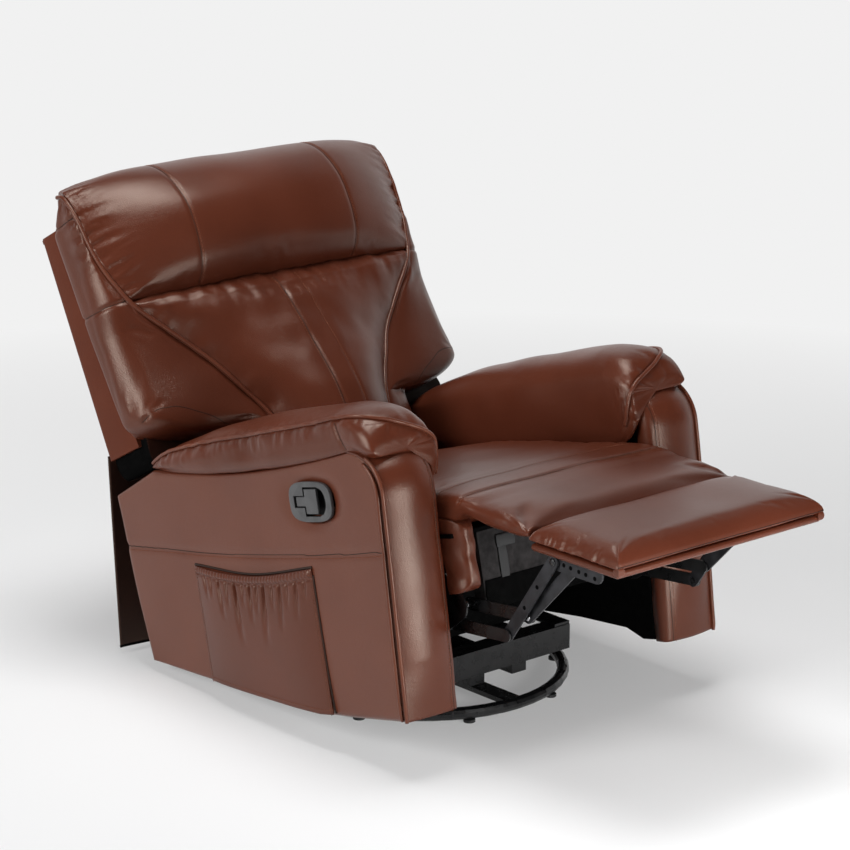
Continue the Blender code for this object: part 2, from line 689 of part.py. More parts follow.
# Cushions that are drawn as a crowned pad.
def cushion(name, low, high, swell, rig, steps=(14, 10), bulge=0.004, draw_in=0.004):
    """A closed pad between two corners: crowned top, full rim, sides drawn in between the corners."""
    across, along = steps
    mesh = bmesh.new()
    grid = {}
    for i in range(across + 1):
        for j in range(along + 1):
            u = i / across
            v = j / along
            x = low[0] + (high[0] - low[0]) * u
            y = low[1] + (high[1] - low[1]) * v
            x += draw_in * math.sin(math.pi * v) * (1 - 2 * u)
            y += draw_in * math.sin(math.pi * u) * (1 - 2 * v)
            grid[i, j, 0] = mesh.verts.new((x, y, low[2]))
            grid[i, j, 1] = mesh.verts.new((x, y, high[2] + swell * crown(u) * crown(v)))
    for i in range(across):
        for j in range(along):
            for level in (0, 1):
                corners = ((0, 0), (1, 0), (1, 1), (0, 1))
                mesh.faces.new([grid[i + a, j + b, level] for a, b in corners])
    rim = ([(i, 0) for i in range(across)] + [(across, j) for j in range(along)]
           + [(i, along) for i in range(across, 0, -1)] + [(0, j) for j in range(along, 0, -1)])
    middle = {}
    for i, j in rim:
        outward = Vector(((i == across) - (i == 0), (j == along) - (j == 0), 0))
        halfway = (grid[i, j, 0].co + grid[i, j, 1].co) / 2
        middle[i, j] = mesh.verts.new(halfway + outward * bulge)
    for here, there in zip(rim, rim[1:] + rim[:1]):
        mesh.faces.new((grid[*here, 0], grid[*there, 0], middle[there], middle[here]))
        mesh.faces.new((middle[here], middle[there], grid[*there, 1], grid[*here, 1]))
    return piece_from(name, mesh, LEATHER, rig, 60.0)


# Footrest board, pad, brackets and the chaise pad behind them.
foot_rear = FOOT_FRONT + FOOT_LEN
board_top = BOARD_LOW + BOARD_T
foot_pad_low = board_top + FIT


def footrest():
    low = (-foot_half, FOOT_FRONT, BOARD_LOW)
    high = (foot_half, foot_rear, board_top)
    block("footrest_board", low, high, WELT_BROWN, foot_rig)
    inset = FOOT_PAD_BULGE
    cushion("footrest_pad", (-foot_half + inset, FOOT_FRONT + inset, foot_pad_low),
            (foot_half - inset, foot_rear - inset, foot_pad_low + FOOT_PAD_T), FOOT_PAD_CROWN, foot_rig,
            bulge=FOOT_PAD_BULGE)


def footrest_brackets():
    """Angle irons under the board: a drilled web for the pivots and a flange screwed to the board."""
    inner, outer = layer(BRACKET_LAYER)
    top = BOARD_LOW - FIT
    front = -BRACE_FOOT_STEP - ANGLE_NOSE
    radius = LINK_W / 2 + ANGLE_EDGE
    outline = (arc((0, 0), radius, -90, 20, 6) + [(LINK_W, top), (front, top)]
               + arc((front, 0), radius, 160, 270, 6))
    for side in (LEFT, RIGHT):
        tag = SIDE_NAME[side]
        xs = sorted((side * inner, side * outer))
        web = prism(f"footrest_bracket_{tag}", outline, *xs, GREY_STEEL, foot_rig)
        flange_xs = sorted((side * (outer - ANGLE_W), side * (inner + PLATE_T / 2)))
        flange = block(f"bracket_flange_{tag}", (flange_xs[0], front, top - ANGLE_T),
                       (flange_xs[1], LINK_W, top), GREY_STEEL, foot_rig)
        cut_or_join(web, flange, "UNION")
        tip = layer(UPPER_LAYER)[1] + LAYER_GAP / 2
        pin = stud(f"bracket_stud_{tag}", (0, 0), side * (inner + PLATE_T / 2), side * tip, foot_rig)
        cut_or_join(web, pin, "UNION")


chaise_rig = Rig("chaise_hinge_axis", (0, *CHAISE_PIVOT), TILT, chair_rig)


def chaise():
    """The soft panel that bridges the seat front and the footrest."""
    start = level_to_floor(*CHAISE_PIVOT)
    pivot = level_to_floor(*FOOT_PIVOT)
    length = start[0] - (pivot[0] + foot_rear) - FIT - CHAISE_BULGE
    top = pivot[1] + foot_pad_low + FOOT_PAD_T - start[1]
    cushion("chaise_pad", (-chaise_half, -length, top - CHAISE_T), (chaise_half, -CHAISE_BULGE, top),
            CHAISE_CROWN, chaise_rig, steps=(14, 8), bulge=CHAISE_BULGE)


footrest()
footrest_brackets()
chaise()


# Seat.
def seat():
    rail_half = X_IN - BOLSTER_W - 2 * FIT
    rail_top = DECK_Z - DECK_T - FIT
    block("seat_front_rail", (-rail_half, FRONT_RAIL_Y, FRONT_RAIL_LOW_Z),
          (rail_half, FRONT_RAIL_Y + FRONT_RAIL_T, rail_top), GREY_CLOTH, chair_rig)
    deck_half = X_IN - FIT
    deck = block("seat_deck", (-deck_half, FRONT_RAIL_Y, DECK_Z - DECK_T),
                 (deck_half, DECK_REAR_Y, DECK_Z), WOOD, chair_rig)
    for side in (LEFT, RIGHT):
        inner, outer = layer(0)
        xs = sorted((side * inner, side * (outer + RISER_W)))
        riser = block(f"deck_riser_{SIDE_NAME[side]}", (xs[0], PLATE_FRONT_Y, PLATE_TOP_Z + FIT),
                      (xs[1], DECK_REAR_Y - RISER_W, DECK_Z - DECK_T / 2), WOOD, chair_rig)
        cut_or_join(deck, riser, "UNION")
    half = X_IN - SEAT_BULGE - 2 * FIT
    cushion("seat_cushion", (-half, SEAT_FRONT_Y, DECK_Z + FIT), (half, SEAT_REAR_Y, SEAT_RIM_Z), SEAT_CROWN,
            chair_rig, steps=(16, 16), bulge=SEAT_BULGE)


def seat_bolsters():
    """Leather rolls at the two ends of the seat front, beside the grey cloth."""
    rear = FRONT_RAIL_Y + BOLSTER_LAP
    front = FRONT_RAIL_Y - BOLSTER_D
    top = DECK_Z - DECK_T - FIT
    outer = X_IN - FIT
    inner = outer - BOLSTER_W
    tall = top - BOLSTER_LOW_Z
    rings = []
    for step in range(9):
        share = step / 8
        swell = BOLSTER_ROUND * (1 - crown(share))
        z_swell = 0.25 * swell
        ring = [(rear, BOLSTER_LOW_Z + z_swell), (rear, top)]
        ring += [(front + swell, top), (front - 0.2 * BOLSTER_ROUND + swell, top - 0.25 * tall)]
        ring += [(front - 0.2 * BOLSTER_ROUND + swell, top - 0.6 * tall), (front + swell, top - 0.85 * tall)]
        ring += [(front + 0.4 * BOLSTER_D + swell, BOLSTER_LOW_Z + z_swell)]
        rings.append((inner + (outer - inner) * share, ring))
    for side in (LEFT, RIGHT):
        skin = [[(side * x, y, z) for y, z in ring] for x, ring in rings]
        mesh = loft_mesh(skin, fan_caps=False)
        piece_from(f"seat_bolster_{SIDE_NAME[side]}", mesh, LEATHER, chair_rig, 60.0)


seat()
seat_bolsters()


# Arms: wooden box, side panel, front facing and pillow pad.
NOSE_STEPS = 7
nose_y = ARM_BREAST_Y + NOSE_R
pad_rise = (ARM_BREAST_Z + NOSE_R - PAD_LOW_Z) / (nose_y - PAD_LOW_Y) ** 2


def pad_seat(y):
    """Height of the line that the arm pad sits on, round the nose as well."""
    if y < nose_y:
        return ARM_BREAST_Z + math.sqrt(NOSE_R ** 2 - (y - nose_y) ** 2)
    return PAD_LOW_Z + pad_rise * (y - PAD_LOW_Y) ** 2


def breast_y(z):
    share = (z - ARM_BASE_Z) / (ARM_BREAST_Z - ARM_BASE_Z)
    return ARM_FOOT_Y + (ARM_BREAST_Y - ARM_FOOT_Y) * share


def arm_bottom(y):
    """Height of the side panel's bottom edge."""
    if y < ARM_FLAT_END_Y:
        return ARM_BASE_Z
    share = (y - ARM_FLAT_END_Y) / (ARM_HEEL_Y - ARM_FLAT_END_Y)
    return ARM_BASE_Z + (ARM_HEEL_Z - ARM_BASE_Z) * share


def arm_outline(bottom, set_in, drop):
    """The arm seen from the side, behind its front facing, closed by the given bottom edge."""
    back = [(ARM_BACK_Y - set_in, ARM_BACK_Z - set_in)]
    top = []
    for step in range(13):
        y = ARM_SHOULDER_Y + (nose_y - ARM_SHOULDER_Y) * step / 12
        top.append((y, pad_seat(y) - drop))
    depth = FACING_T + FIT
    nose = arc((nose_y, ARM_BREAST_Z), NOSE_R - depth, 90, 180, NOSE_STEPS)
    front = [(breast_y(bottom[0][1]) + depth, bottom[0][1])]
    return front + bottom[1:] + back + top + nose


def arm_panel(side):
    base = [(0, ARM_BASE_Z), (ARM_FLAT_END_Y, ARM_BASE_Z), (ARM_HEEL_Y, ARM_HEEL_Z)]
    xs = sorted((side * (X_OUT - PANEL_T), side * X_OUT))
    return prism(f"arm_panel_{SIDE_NAME[side]}", arm_outline(base, 0.0, FIT), *xs, LEATHER, chair_rig)


def arm_core(side):
    """Wooden box inside the arm, covered in black lining on the seat side."""
    toe_y = nose_y + CORE_SET_IN
    base = [(0, CORE_BASE_Z), (toe_y, CORE_BASE_Z), (toe_y + CORE_TOE, CORE_BASE_Z + CORE_TOE_RISE),
            (ARM_FLAT_END_Y, CORE_BASE_Z + CORE_BELLY_RISE),
            (ARM_HEEL_Y - CORE_SET_IN, ARM_HEEL_Z + CORE_SET_IN)]
    xs = sorted((side * X_IN, side * (X_OUT - PANEL_T - FIT)))
    return prism(f"arm_core_{SIDE_NAME[side]}", arm_outline(base, CORE_SET_IN, FIT), *xs, LINING, chair_rig)


def facing_ring(x, swell):
    """Section of the front facing: outer line pushed out by the crown, inner line parallel to the arm."""
    outer = []
    for share in (0.0, 0.25, 0.5, 0.75):
        z = ARM_BASE_Z + (ARM_BREAST_Z - ARM_BASE_Z) * share
        outer.append((breast_y(z) - swell * min(1.0, 0.35 + 2.6 * share), z))
    for step in range(NOSE_STEPS + 1):
        turn = step / NOSE_STEPS
        radius = NOSE_R + swell * max(0.0, 1 - turn / 0.55)
        outer += arc((nose_y, ARM_BREAST_Z), radius, 180 - 90 * turn, 180 - 90 * turn, 1)[:1]
    inner = arc((nose_y, ARM_BREAST_Z), NOSE_R - FACING_T, 90, 180, NOSE_STEPS)
    for share in (0.75, 0.5, 0.25, 0.0):
        z = ARM_BASE_Z + (ARM_BREAST_Z - ARM_BASE_Z) * share
        inner.append((breast_y(z) + FACING_T, z))
    under_pad = nose_y - PAD_NOSE
    ring = [(x, y, z - FIT if y > under_pad else z) for y, z in outer]
    return ring + [(x, y, z) for y, z in inner]


def arm_facing(side):
    rings = []
    for step in range(9):
        share = step / 8
        x = X_IN + (X_OUT - X_IN) * share
        rings.append(facing_ring(side * x, FACING_CROWN * crown(share)))
    piece_from(f"arm_facing_{SIDE_NAME[side]}", loft_mesh(rings, fan_caps=False), LEATHER, chair_rig, 50.0)


def pad_section(y, lift, end_in):
    """Section of the arm pad: pillow top, welted outer side and a drape inside the arm."""
    seat = pad_seat(y) + 2 * FIT
    out = X_OUT + PAD_OVER_OUT - end_in
    inner = X_IN - PAD_OVER_IN + end_in
    middle = (out + inner) / 2
    back = X_IN - 3 * FIT
    low = PAD_DRAPE_Z + end_in
    rise = PAD_H * lift
    section = [(out - step, seat + share * rise) for step, share in PAD_OUTER_STEPS]
    section += [(middle, seat + rise)]
    section += [(inner + step, seat + share * rise) for step, share in PAD_INNER_STEPS]
    section += [(inner + PAD_DRAPE_IN, low + 0.3 * (seat - low)), (inner + PAD_HEM_IN, low)]
    return section + [(back, low + PAD_HEM_RISE), (back, seat)]


def arm_pad(side):
    front = nose_y - PAD_NOSE
    rear = ARM_SHOULDER_Y
    rings = []
    for step in range(21):
        share = step / 20
        y = front + (rear - front) * (share - math.sin(4 * math.pi * share) / (4 * math.pi) * 0.55)
        ahead = min(1.0, (y - front) / PAD_END)
        behind = min(1.0, (rear - y) / PAD_TAPER)
        nose = math.sqrt(1 - (1 - ahead) ** 2)
        tail = math.sqrt(1 - (1 - behind) ** 2)
        lift = (0.62 + 0.38 * nose) * (0.22 + 0.78 * tail)
        end_in = PAD_END_IN * (2 - nose - math.sqrt(tail))
        rings.append([(side * x, y, z) for x, z in smooth_pad(pad_section(y, lift, end_in))])
    piece_from(f"arm_pad_{SIDE_NAME[side]}", loft_mesh(rings), LEATHER, chair_rig, 70.0)


def smooth_pad(points):
    """Round the free side of a pad section, and keep its three seated corners sharp."""
    free = points[:10]
    result = []
    for i in range(len(free) - 1):
        a = Vector(free[max(i - 1, 0)])
        b, c = Vector(free[i]), Vector(free[i + 1])
        d = Vector(free[min(i + 2, len(free) - 1)])
        for t in (0.0, 0.5):
            point = 0.5 * (2 * b + (c - a) * t + (2 * a - 5 * b + 4 * c - d) * t ** 2
                           + (3 * b - a - 3 * c + d) * t ** 3)
            result.append((point.x, point.y))
    return result + points[9:]


panels = {}
for side in (LEFT, RIGHT):
    panels[side] = arm_panel(side)
    arm_core(side)
    arm_facing(side)
    arm_pad(side)


# Side pocket and release handle.
pocket_bulge = WING_OVER - FIT - POCKET_WALL


def pocket():
    """A pouch sewn to the right arm: closed at its sides and bottom, open along its sagging top edge."""
    across = 16
    floor_share = 0.06
    rows = []
    for share in (0.0, floor_share, 0.25, 0.5, 0.75, 1.0):
        outer = []
        inner = []
        for i in range(across + 1):
            u = i / across
            y = POCKET_FRONT_Y + (POCKET_REAR_Y - POCKET_FRONT_Y) * u
            low = arm_bottom(y) + POCKET_HEM
            high = POCKET_TOP_Z - POCKET_SAG * math.sin(math.pi * u)
            z = low + (high - low) * share
            fullness = crown(u) * (0.45 + 0.55 * math.sin(math.pi * min(1.0, 0.12 + 0.75 * share)))
            x_out = X_OUT + FIT + POCKET_WALL + pocket_bulge * fullness
            hollow = max(0.0, x_out - POCKET_WALL - X_OUT - FIT) if share > floor_share else 0.0
            edge = 0.0 if i in (0, across) else hollow
            outer.append((-x_out, y, z))
            inner.append((-(X_OUT + FIT + edge), y, z))
        rows.append((outer, inner))
    mesh = bmesh.new()
    made = [([mesh.verts.new(p) for p in outer], [mesh.verts.new(p) for p in inner]) for outer, inner in rows]
    for here, there in zip(made, made[1:]):
        for i in range(across):
            for skin in (0, 1):
                mesh.faces.new((here[skin][i], here[skin][i + 1], there[skin][i + 1], there[skin][i]))
        for i in (0, across):
            mesh.faces.new((here[0][i], here[1][i], there[1][i], there[0][i]))
    for outer, inner in (made[0], made[-1]):
        for i in range(across):
            mesh.faces.new((outer[i], outer[i + 1], inner[i + 1], inner[i]))
    piece_from("side_pocket", mesh, LEATHER, chair_rig, 50.0)


def oval(length, height, sides=36):
    """A long rounded outline about the handle's centre."""
    points = []
    for step in range(sides):
        angle = 2 * math.pi * step / sides
        c, s = math.cos(angle), math.sin(angle)
        points.append((HANDLE_Y + length / 2 * math.copysign(abs(c) ** 0.62, c),
                       HANDLE_Z + height / 2 * math.copysign(abs(s) ** 0.62, s)))
    return points


stem_rear_y = HANDLE_Y + (STEM_L + PADDLE_L + FINGER_GAP) / 2
paddle_rear_y = stem_rear_y - STEM_L
paddle_front_y = paddle_rear_y - PADDLE_L
lever_x = X_OUT + FIT
lever_axis_y = stem_rear_y - LEVER_T / 2


def finger_well():
    """Opening in the bezel: a slot for the lever's stem that widens to a D for the paddle and the fingers."""
    slot = STEM_H / 2 + LEVER_GAP
    wide = PADDLE_H / 2 + LEVER_GAP
    rear = stem_rear_y + LEVER_SWING_GAP
    shoulder = paddle_rear_y + LEVER_GAP
    front = paddle_front_y - FINGER_GAP
    bow = [(front + FINGER_GAP * (1 - math.cos(math.asin(k / 6))), k / 6 * wide) for k in range(-6, 7)]
    half = [(rear, slot), (shoulder, slot), (shoulder, wide)]
    outline = half + bow[::-1] + [(y, -z) for y, z in reversed(half)]
    return [(y, HANDLE_Z + z) for y, z in outline]


def handle_bezel():
    """Oval plate with a finger cup sunk into the arm's side panel."""
    outer_x = -(X_OUT + FIT + BEZEL_T)
    cup_x = -(X_OUT - CUP_DEPTH)
    face = prism("handle_bezel", oval(BEZEL_L, BEZEL_H), outer_x, -(X_OUT + FIT), GREY_PLASTIC, chair_rig)
    shrink = 2 * BEZEL_RIM
    cup = prism("bezel_cup", oval(BEZEL_L - shrink, BEZEL_H - shrink), -(X_OUT + FIT + BEZEL_T / 2), cup_x,
                GREY_PLASTIC, chair_rig)
    cut_or_join(face, cup, "UNION")
    hollow = prism("bezel_hollow", finger_well(), outer_x - BEZEL_T, cup_x - CUP_WALL, GREY_PLASTIC,
                   chair_rig)
    cut_or_join(face, hollow, "DIFFERENCE")
    clear = shrink - 4 * FIT
    well = prism("panel_well", oval(BEZEL_L - clear, BEZEL_H - clear), outer_x, cup_x + FIT, LEATHER,
                 chair_rig)
    cut_or_join(panels[RIGHT], well, "DIFFERENCE")


def release_lever():
    """T-shaped paddle that swings out about an upright pin at the rear end of its stem."""
    rig = Rig("lever_axis", (-(lever_x + LEVER_T / 2), lever_axis_y, HANDLE_Z), 0.0, chair_rig)
    stem = STEM_H / 2
    wide = PADDLE_H / 2
    rear = stem_rear_y - lever_axis_y
    shoulder = paddle_rear_y - lever_axis_y
    front = paddle_front_y - lever_axis_y
    outline = [(rear, stem), (shoulder, stem), (shoulder, wide), (front, wide),
               (front, -wide), (shoulder, -wide), (shoulder, -stem), (rear, -stem)]
    prism("release_lever", outline, -LEVER_T / 2, LEVER_T / 2, GREY_PLASTIC, rig)


pocket()
handle_bezel()
release_lever()


# Back: shell, frame, hinge brackets and cushions, drawn upright with n along -Y and s along Z.
def shell_front(s):
    """Front edge of the shell's side walls."""
    share = (s - SHELL_LOW_S) / (SHELL_TOP_S - SHELL_LOW_S)
    return SHELL_LOW_N + (SHELL_TOP_N - SHELL_LOW_N) * share


def back_shell():
    corner = SHELL_EDGE_R
    rings = []
    for s in (SHELL_LOW_S, SHELL_TOP_S):
        front = shell_front(s)
        outer = [(shell_half, -front)]
        outer += arc((shell_half - corner, -SHELL_REAR_N - corner), corner, 0, 90, 5)
        outer += [(-x, y) for x, y in reversed(outer)]
        inner_half = shell_half - SHELL_WALL
        inner = [(-inner_half, -front)]
        inner += [(-inner_half + corner / 2, -SHELL_REAR_N - SHELL_WALL)]
        inner += [(-x, y) for x, y in reversed(inner)]
        rings.append([(x, y, s) for x, y in outer + inner])
    shell = piece_from("back_shell", loft_mesh(rings, fan_caps=False), LEATHER, back_rig)
    tuck = SHELL_WALL / 3
    lid = block("shell_top", (-shell_half + tuck, -SHELL_TOP_N, SHELL_TOP_S - SHELL_WALL),
                (shell_half - tuck, -SHELL_REAR_N - tuck, SHELL_TOP_S - tuck / 2), LEATHER, back_rig)
    cut_or_join(shell, lid, "UNION")


frame_rear_n = SHELL_REAR_N + SHELL_WALL + FIT
frame_front_n = frame_rear_n + POST_T
low_rail = SHELL_LOW_S + RAIL_LIFT
post_in_x = layer(LOWER_LAYER)[1] + FIT
post_out_x = X_IN - POST_CLEAR


def back_frame():
    top = SHELL_TOP_S - SHELL_WALL - FIT
    middle = (low_rail + top) / 2
    frame = block("back_frame", (-post_out_x, -frame_front_n, POST_LOW_S), (post_out_x, -frame_rear_n, top),
                  WOOD, back_rig)
    windows = ((POST_LOW_S - POST_T, low_rail), (low_rail + BACK_RAIL_H, middle - BACK_RAIL_H / 2),
               (middle + BACK_RAIL_H / 2, top - BACK_RAIL_H))
    for i, (low, high) in enumerate(windows):
        window = block(f"back_window_{i + 1}", (-post_in_x, -frame_front_n - POST_T, low),
                       (post_in_x, -frame_rear_n + POST_T, high), WOOD, back_rig)
        cut_or_join(frame, window, "DIFFERENCE")


def back_brackets():
    """Steel hinge plates bolted to the inner faces of the posts, each with its hinge pin."""
    inner, outer = layer(LOWER_LAYER)
    front = -frame_front_n
    rear = -frame_rear_n
    half = BRACKET_W / 2
    top = low_rail - FIT
    outline = arc((0, 0), half, 180, 360, 10) + [(rear, POST_LOW_S), (rear, top), (front, top),
                                                 (front, POST_LOW_S + half), (-half, half)]
    for side in (LEFT, RIGHT):
        tag = SIDE_NAME[side]
        xs = sorted((side * inner, side * outer))
        plate = prism(f"back_bracket_{tag}", outline, *xs, BLACK_STEEL, back_rig)
        tip = layer(0)[1] + LAYER_GAP / 2
        pin = stud(f"bracket_pin_{tag}", (0, 0), side * (inner + PLATE_T / 2), side * tip, back_rig)
        cut_or_join(plate, pin, "UNION")


lumbar_low_s = WELT_S[0]
lumbar_top_s = HEADREST_LOW_S - SOFT_GAP


def welt_x(s):
    """Half width of the middle cushions: they narrow towards the seat."""
    return X_OUT - float(np.interp(s, WELT_S, WELT_INSET))


def welt_n(s):
    """How far forward the welt between the middle cushions and the wings lies."""
    return float(np.interp(s, WELT_S, WELT_N))


def lumbar_swell(s):
    """Crown of the lumbar cushion over its welts: fullest a hand above the seat."""
    share = (s - lumbar_low_s) / (lumbar_top_s - lumbar_low_s)
    return LUMBAR_CROWN * (0.78 + 0.22 * math.cos(math.pi * (share - LUMBAR_FULL) / (1 - LUMBAR_FULL)))


def lumbar():
    rings = []
    for step in range(17):
        share = step / 16
        s = lumbar_low_s + (lumbar_top_s - lumbar_low_s) * share
        half = welt_x(s) - SOFT_GAP / 2
        end = min(1.0, 6 * share, 8 * (1 - share) + 0.45)
        tuck = LUMBAR_TUCK * (1 - end)
        front = welt_n(s) - tuck
        swell = lumbar_swell(s) * (0.35 + 0.65 * end)
        ring = [(half, -(frame_front_n + FIT), s)]
        for i in range(17):
            u = i / 16
            ring.append((half - 2 * half * u, -(front + swell * crown(u)), s))
        ring.append((-half, -(frame_front_n + FIT), s))
        rings.append(ring)
    piece_from("lumbar_cushion", loft_mesh(rings), LEATHER, back_rig, 60.0)


def wing_out(s):
    """Outer edge of the wing: tucked between the arms, wide above them, narrower beside the headrest."""
    if s > HEADREST_LOW_S:
        share = (s - HEADREST_LOW_S) / (WING_TOP_S - HEADREST_LOW_S)
        return wing_x + (WING_TOP_OVER - WING_OVER) * share
    between_arms = X_IN - PAD_OVER_IN - PAD_OVER_OUT
    share = min(1.0, max(0.0, (s - WING_LOW_S) / WING_ROUND))
    return between_arms + (wing_x - between_arms) * math.sqrt(1 - (1 - share) ** 2)


def wings():
    stations = [lumbar_low_s + (WING_LOW_S - lumbar_low_s) * k / 3 for k in range(4)]
    stations += [WING_LOW_S + WING_ROUND * share for share in (0.04, 0.15, 0.35, 0.65, 1.0)]
    start = stations[-1]
    stations += [start + (WING_TOP_S - start) * k / 9 for k in range(1, 10)]
    for side in (LEFT, RIGHT):
        rings = []
        for s in stations:
            inner = welt_x(s) + SOFT_GAP / 2
            outer = wing_out(s)
            width = outer - inner
            front = welt_n(s)
            back = shell_front(max(s, SHELL_LOW_S)) + FIT
            edge = front - WING_FALL
            bulge = WING_BULGE * min(1.0, width / (wing_x / 4))
            ring = [(inner, back), (inner, front)]
            for u in (0.15, 0.35, 0.6, 0.8):
                ring.append((inner + width * u, front + (edge - front) * u ** 2 + bulge * crown(u)))
            ring += [(outer - 0.06 * width, edge), (outer, edge + 0.30 * (back - edge)),
                     (outer, edge + 0.65 * (back - edge)), (outer - 0.06 * width, back)]
            rings.append([(side * x, -n, s) for x, n in ring])
        piece_from(f"back_wing_{SIDE_NAME[side]}", loft_mesh(rings), LEATHER, back_rig, 60.0)


def headrest_back(s):
    """Rear face of the headrest: against the shell's edge, then over its top and round to the crest."""
    if s <= SHELL_TOP_S:
        return shell_front(s) + FIT
    share = (s - SHELL_TOP_S - SOFT_GAP) / (HEADREST_TOP_S - SHELL_TOP_S - SOFT_GAP)
    rear = SHELL_TOP_N - HEADREST_OVERHANG
    crest = 0.8 * WELT_N[-1]
    return rear + (crest - rear) * share ** 2


def headrest():
    """A thick roll across the top of the back, falling away to its ends."""
    rise = SHELL_TOP_S - HEADREST_LOW_S
    over = HEADREST_TOP_S - SHELL_TOP_S - SOFT_GAP
    stations = [HEADREST_LOW_S + rise * k / 8 for k in range(9)]
    stations += [SHELL_TOP_S + SOFT_GAP + over * math.sin(math.pi / 2 * k / 6) for k in range(7)]
    rings = []
    for s in stations:
        share = (s - HEADREST_LOW_S) / (HEADREST_TOP_S - HEADREST_LOW_S)
        swell = HEADREST_CROWN * math.sin(math.pi * (0.12 + 0.84 * share)) ** 0.6
        drop = HEADREST_END_DROP * max(0.0, s - SHELL_TOP_S - SOFT_GAP) / over
        half = welt_x(s) - SOFT_GAP / 2
        back = -headrest_back(s)
        ring = [(half, back, s - drop)]
        for i in range(17):
            u = i / 16
            sag = drop * abs(2 * u - 1) ** 3.2
            ring.append((half - 2 * half * u, -(welt_n(s) + swell * crown(u)), s - sag))
        ring.append((-half, back, s - drop))
        rings.append(ring)
    piece_from("headrest", loft_mesh(rings), LEATHER, back_rig, 60.0)


flap_rig = Rig("flap_hem_axis", (0, -SHELL_REAR_N, SHELL_LOW_S), LEAN, back_rig)


def rear_flap():
    """Leather sheet that hangs from the shell's bottom edge almost to the floor, with soft upright folds."""
    lean = math.radians(BACK_LEAN)
    hem_level = (BACK_PIVOT[0] + SHELL_LOW_S * math.sin(lean) - SHELL_REAR_N * math.cos(lean),
                 BACK_PIVOT[1] + SHELL_LOW_S * math.cos(lean) + SHELL_REAR_N * math.sin(lean))
    drop = level_to_floor(*hem_level)[1] - FLAP_LOW_Z
    rings = []
    for step in range(31):
        across = step / 30
        x = (shell_half - FLAP_INSET) * (2 * across - 1)
        wave = math.cos(2 * math.pi * FLAP_FOLD_COUNT * across)
        front = []
        rear = []
        for k in range(7):
            share = k / 6
            y = -FLAP_LEAN * share + FLAP_FOLD * wave * share - FLAP_FOLD * share
            z = -FIT - drop * share
            rear.append((x, y, z))
            front.append((x, y - FLAP_T, z))
        rings.append(rear + front[::-1])
    piece_from("rear_flap", loft_mesh(rings, fan_caps=False), WELT_BROWN, flap_rig, 60.0)


back_shell()
back_frame()
back_brackets()
lumbar()
wings()
headrest()
rear_flap()
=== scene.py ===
# %% [markdown]
# # A leather swivel rocker recliner
# This lesson dresses a packed mechanical model of a recliner: steel base, linkage, wooden frame and plain
# solids for every cushion. The solids stay where they are. Around them we sew the covers that a person sees:
# crowned cushions, welts, rows of stitches, a gathered pocket, and a finish for every surface.

import json
import math

import bmesh
import bpy
import numpy as np
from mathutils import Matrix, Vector, noise
from mathutils.bvhtree import BVHTree
from mathutils.kdtree import KDTree


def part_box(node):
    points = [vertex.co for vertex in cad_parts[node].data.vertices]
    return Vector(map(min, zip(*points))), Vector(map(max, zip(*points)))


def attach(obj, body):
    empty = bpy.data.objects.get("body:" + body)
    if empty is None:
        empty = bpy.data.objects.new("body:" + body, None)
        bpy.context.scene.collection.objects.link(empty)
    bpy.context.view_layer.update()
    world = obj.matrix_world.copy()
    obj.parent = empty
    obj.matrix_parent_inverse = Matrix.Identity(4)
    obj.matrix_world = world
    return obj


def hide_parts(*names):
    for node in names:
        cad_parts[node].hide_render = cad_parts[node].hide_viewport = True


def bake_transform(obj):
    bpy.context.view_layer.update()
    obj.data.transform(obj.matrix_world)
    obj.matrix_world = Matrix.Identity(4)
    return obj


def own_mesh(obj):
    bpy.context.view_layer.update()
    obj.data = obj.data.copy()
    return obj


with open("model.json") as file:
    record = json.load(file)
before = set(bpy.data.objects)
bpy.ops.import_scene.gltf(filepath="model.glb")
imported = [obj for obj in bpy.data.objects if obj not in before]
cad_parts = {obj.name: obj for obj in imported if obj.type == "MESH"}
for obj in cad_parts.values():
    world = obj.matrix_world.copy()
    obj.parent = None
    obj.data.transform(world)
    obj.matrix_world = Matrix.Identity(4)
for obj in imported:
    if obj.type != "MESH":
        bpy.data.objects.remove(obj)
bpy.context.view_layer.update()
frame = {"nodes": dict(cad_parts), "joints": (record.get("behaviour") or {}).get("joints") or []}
scene = bpy.context.scene
joints = {joint["name"]: joint for joint in frame["joints"]}

# %% [markdown]
# ## Three drawing boards
# An upholsterer thinks of the seat body as level and of the back as upright, but the chair is shown rocked
# back. So each group has its own drawing coordinates, and one function that lays them into the world. The
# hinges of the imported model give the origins, and the release lever's pin gives the tilt. The footrest lies
# flat already, so it is drawn in the world's own coordinates.

# %% Drawing coordinates
ROCK_AXIS = np.array(joints["rock"]["pos_m"])
BACK_HINGE = np.array(joints["back_recline"]["pos_m"])
TILT = math.asin(-joints["release"]["axis"][1])
BACK_REST = math.radians(14.6)      # lean of the back while the seat is level
BACK_LEAN = TILT + BACK_REST


def turned_back(y, z, angle):
    """Lean a side view backwards by an angle."""
    return y * math.cos(angle) + z * math.sin(angle), z * math.cos(angle) - y * math.sin(angle)


def in_world(x, y, z):
    """World points as they are."""
    return np.stack(np.broadcast_arrays(np.asarray(x, float), y, z), axis=-1)


def level(x, y, z):
    """World points from the level seat body: y behind the swivel axis, z above the floor."""
    rear, up = turned_back(np.asarray(y), np.asarray(z) - ROCK_AXIS[2], TILT)
    return in_world(x, ROCK_AXIS[1] + rear, ROCK_AXIS[2] + up)


def upright(x, n, s):
    """World points from the upright back: n ahead of the hinge, s above it."""
    rear, up = turned_back(-np.asarray(n), np.asarray(s), BACK_LEAN)
    return in_world(x, BACK_HINGE[1] + rear, BACK_HINGE[2] + up)


print("rocked back", round(math.degrees(TILT), 2), "degrees")

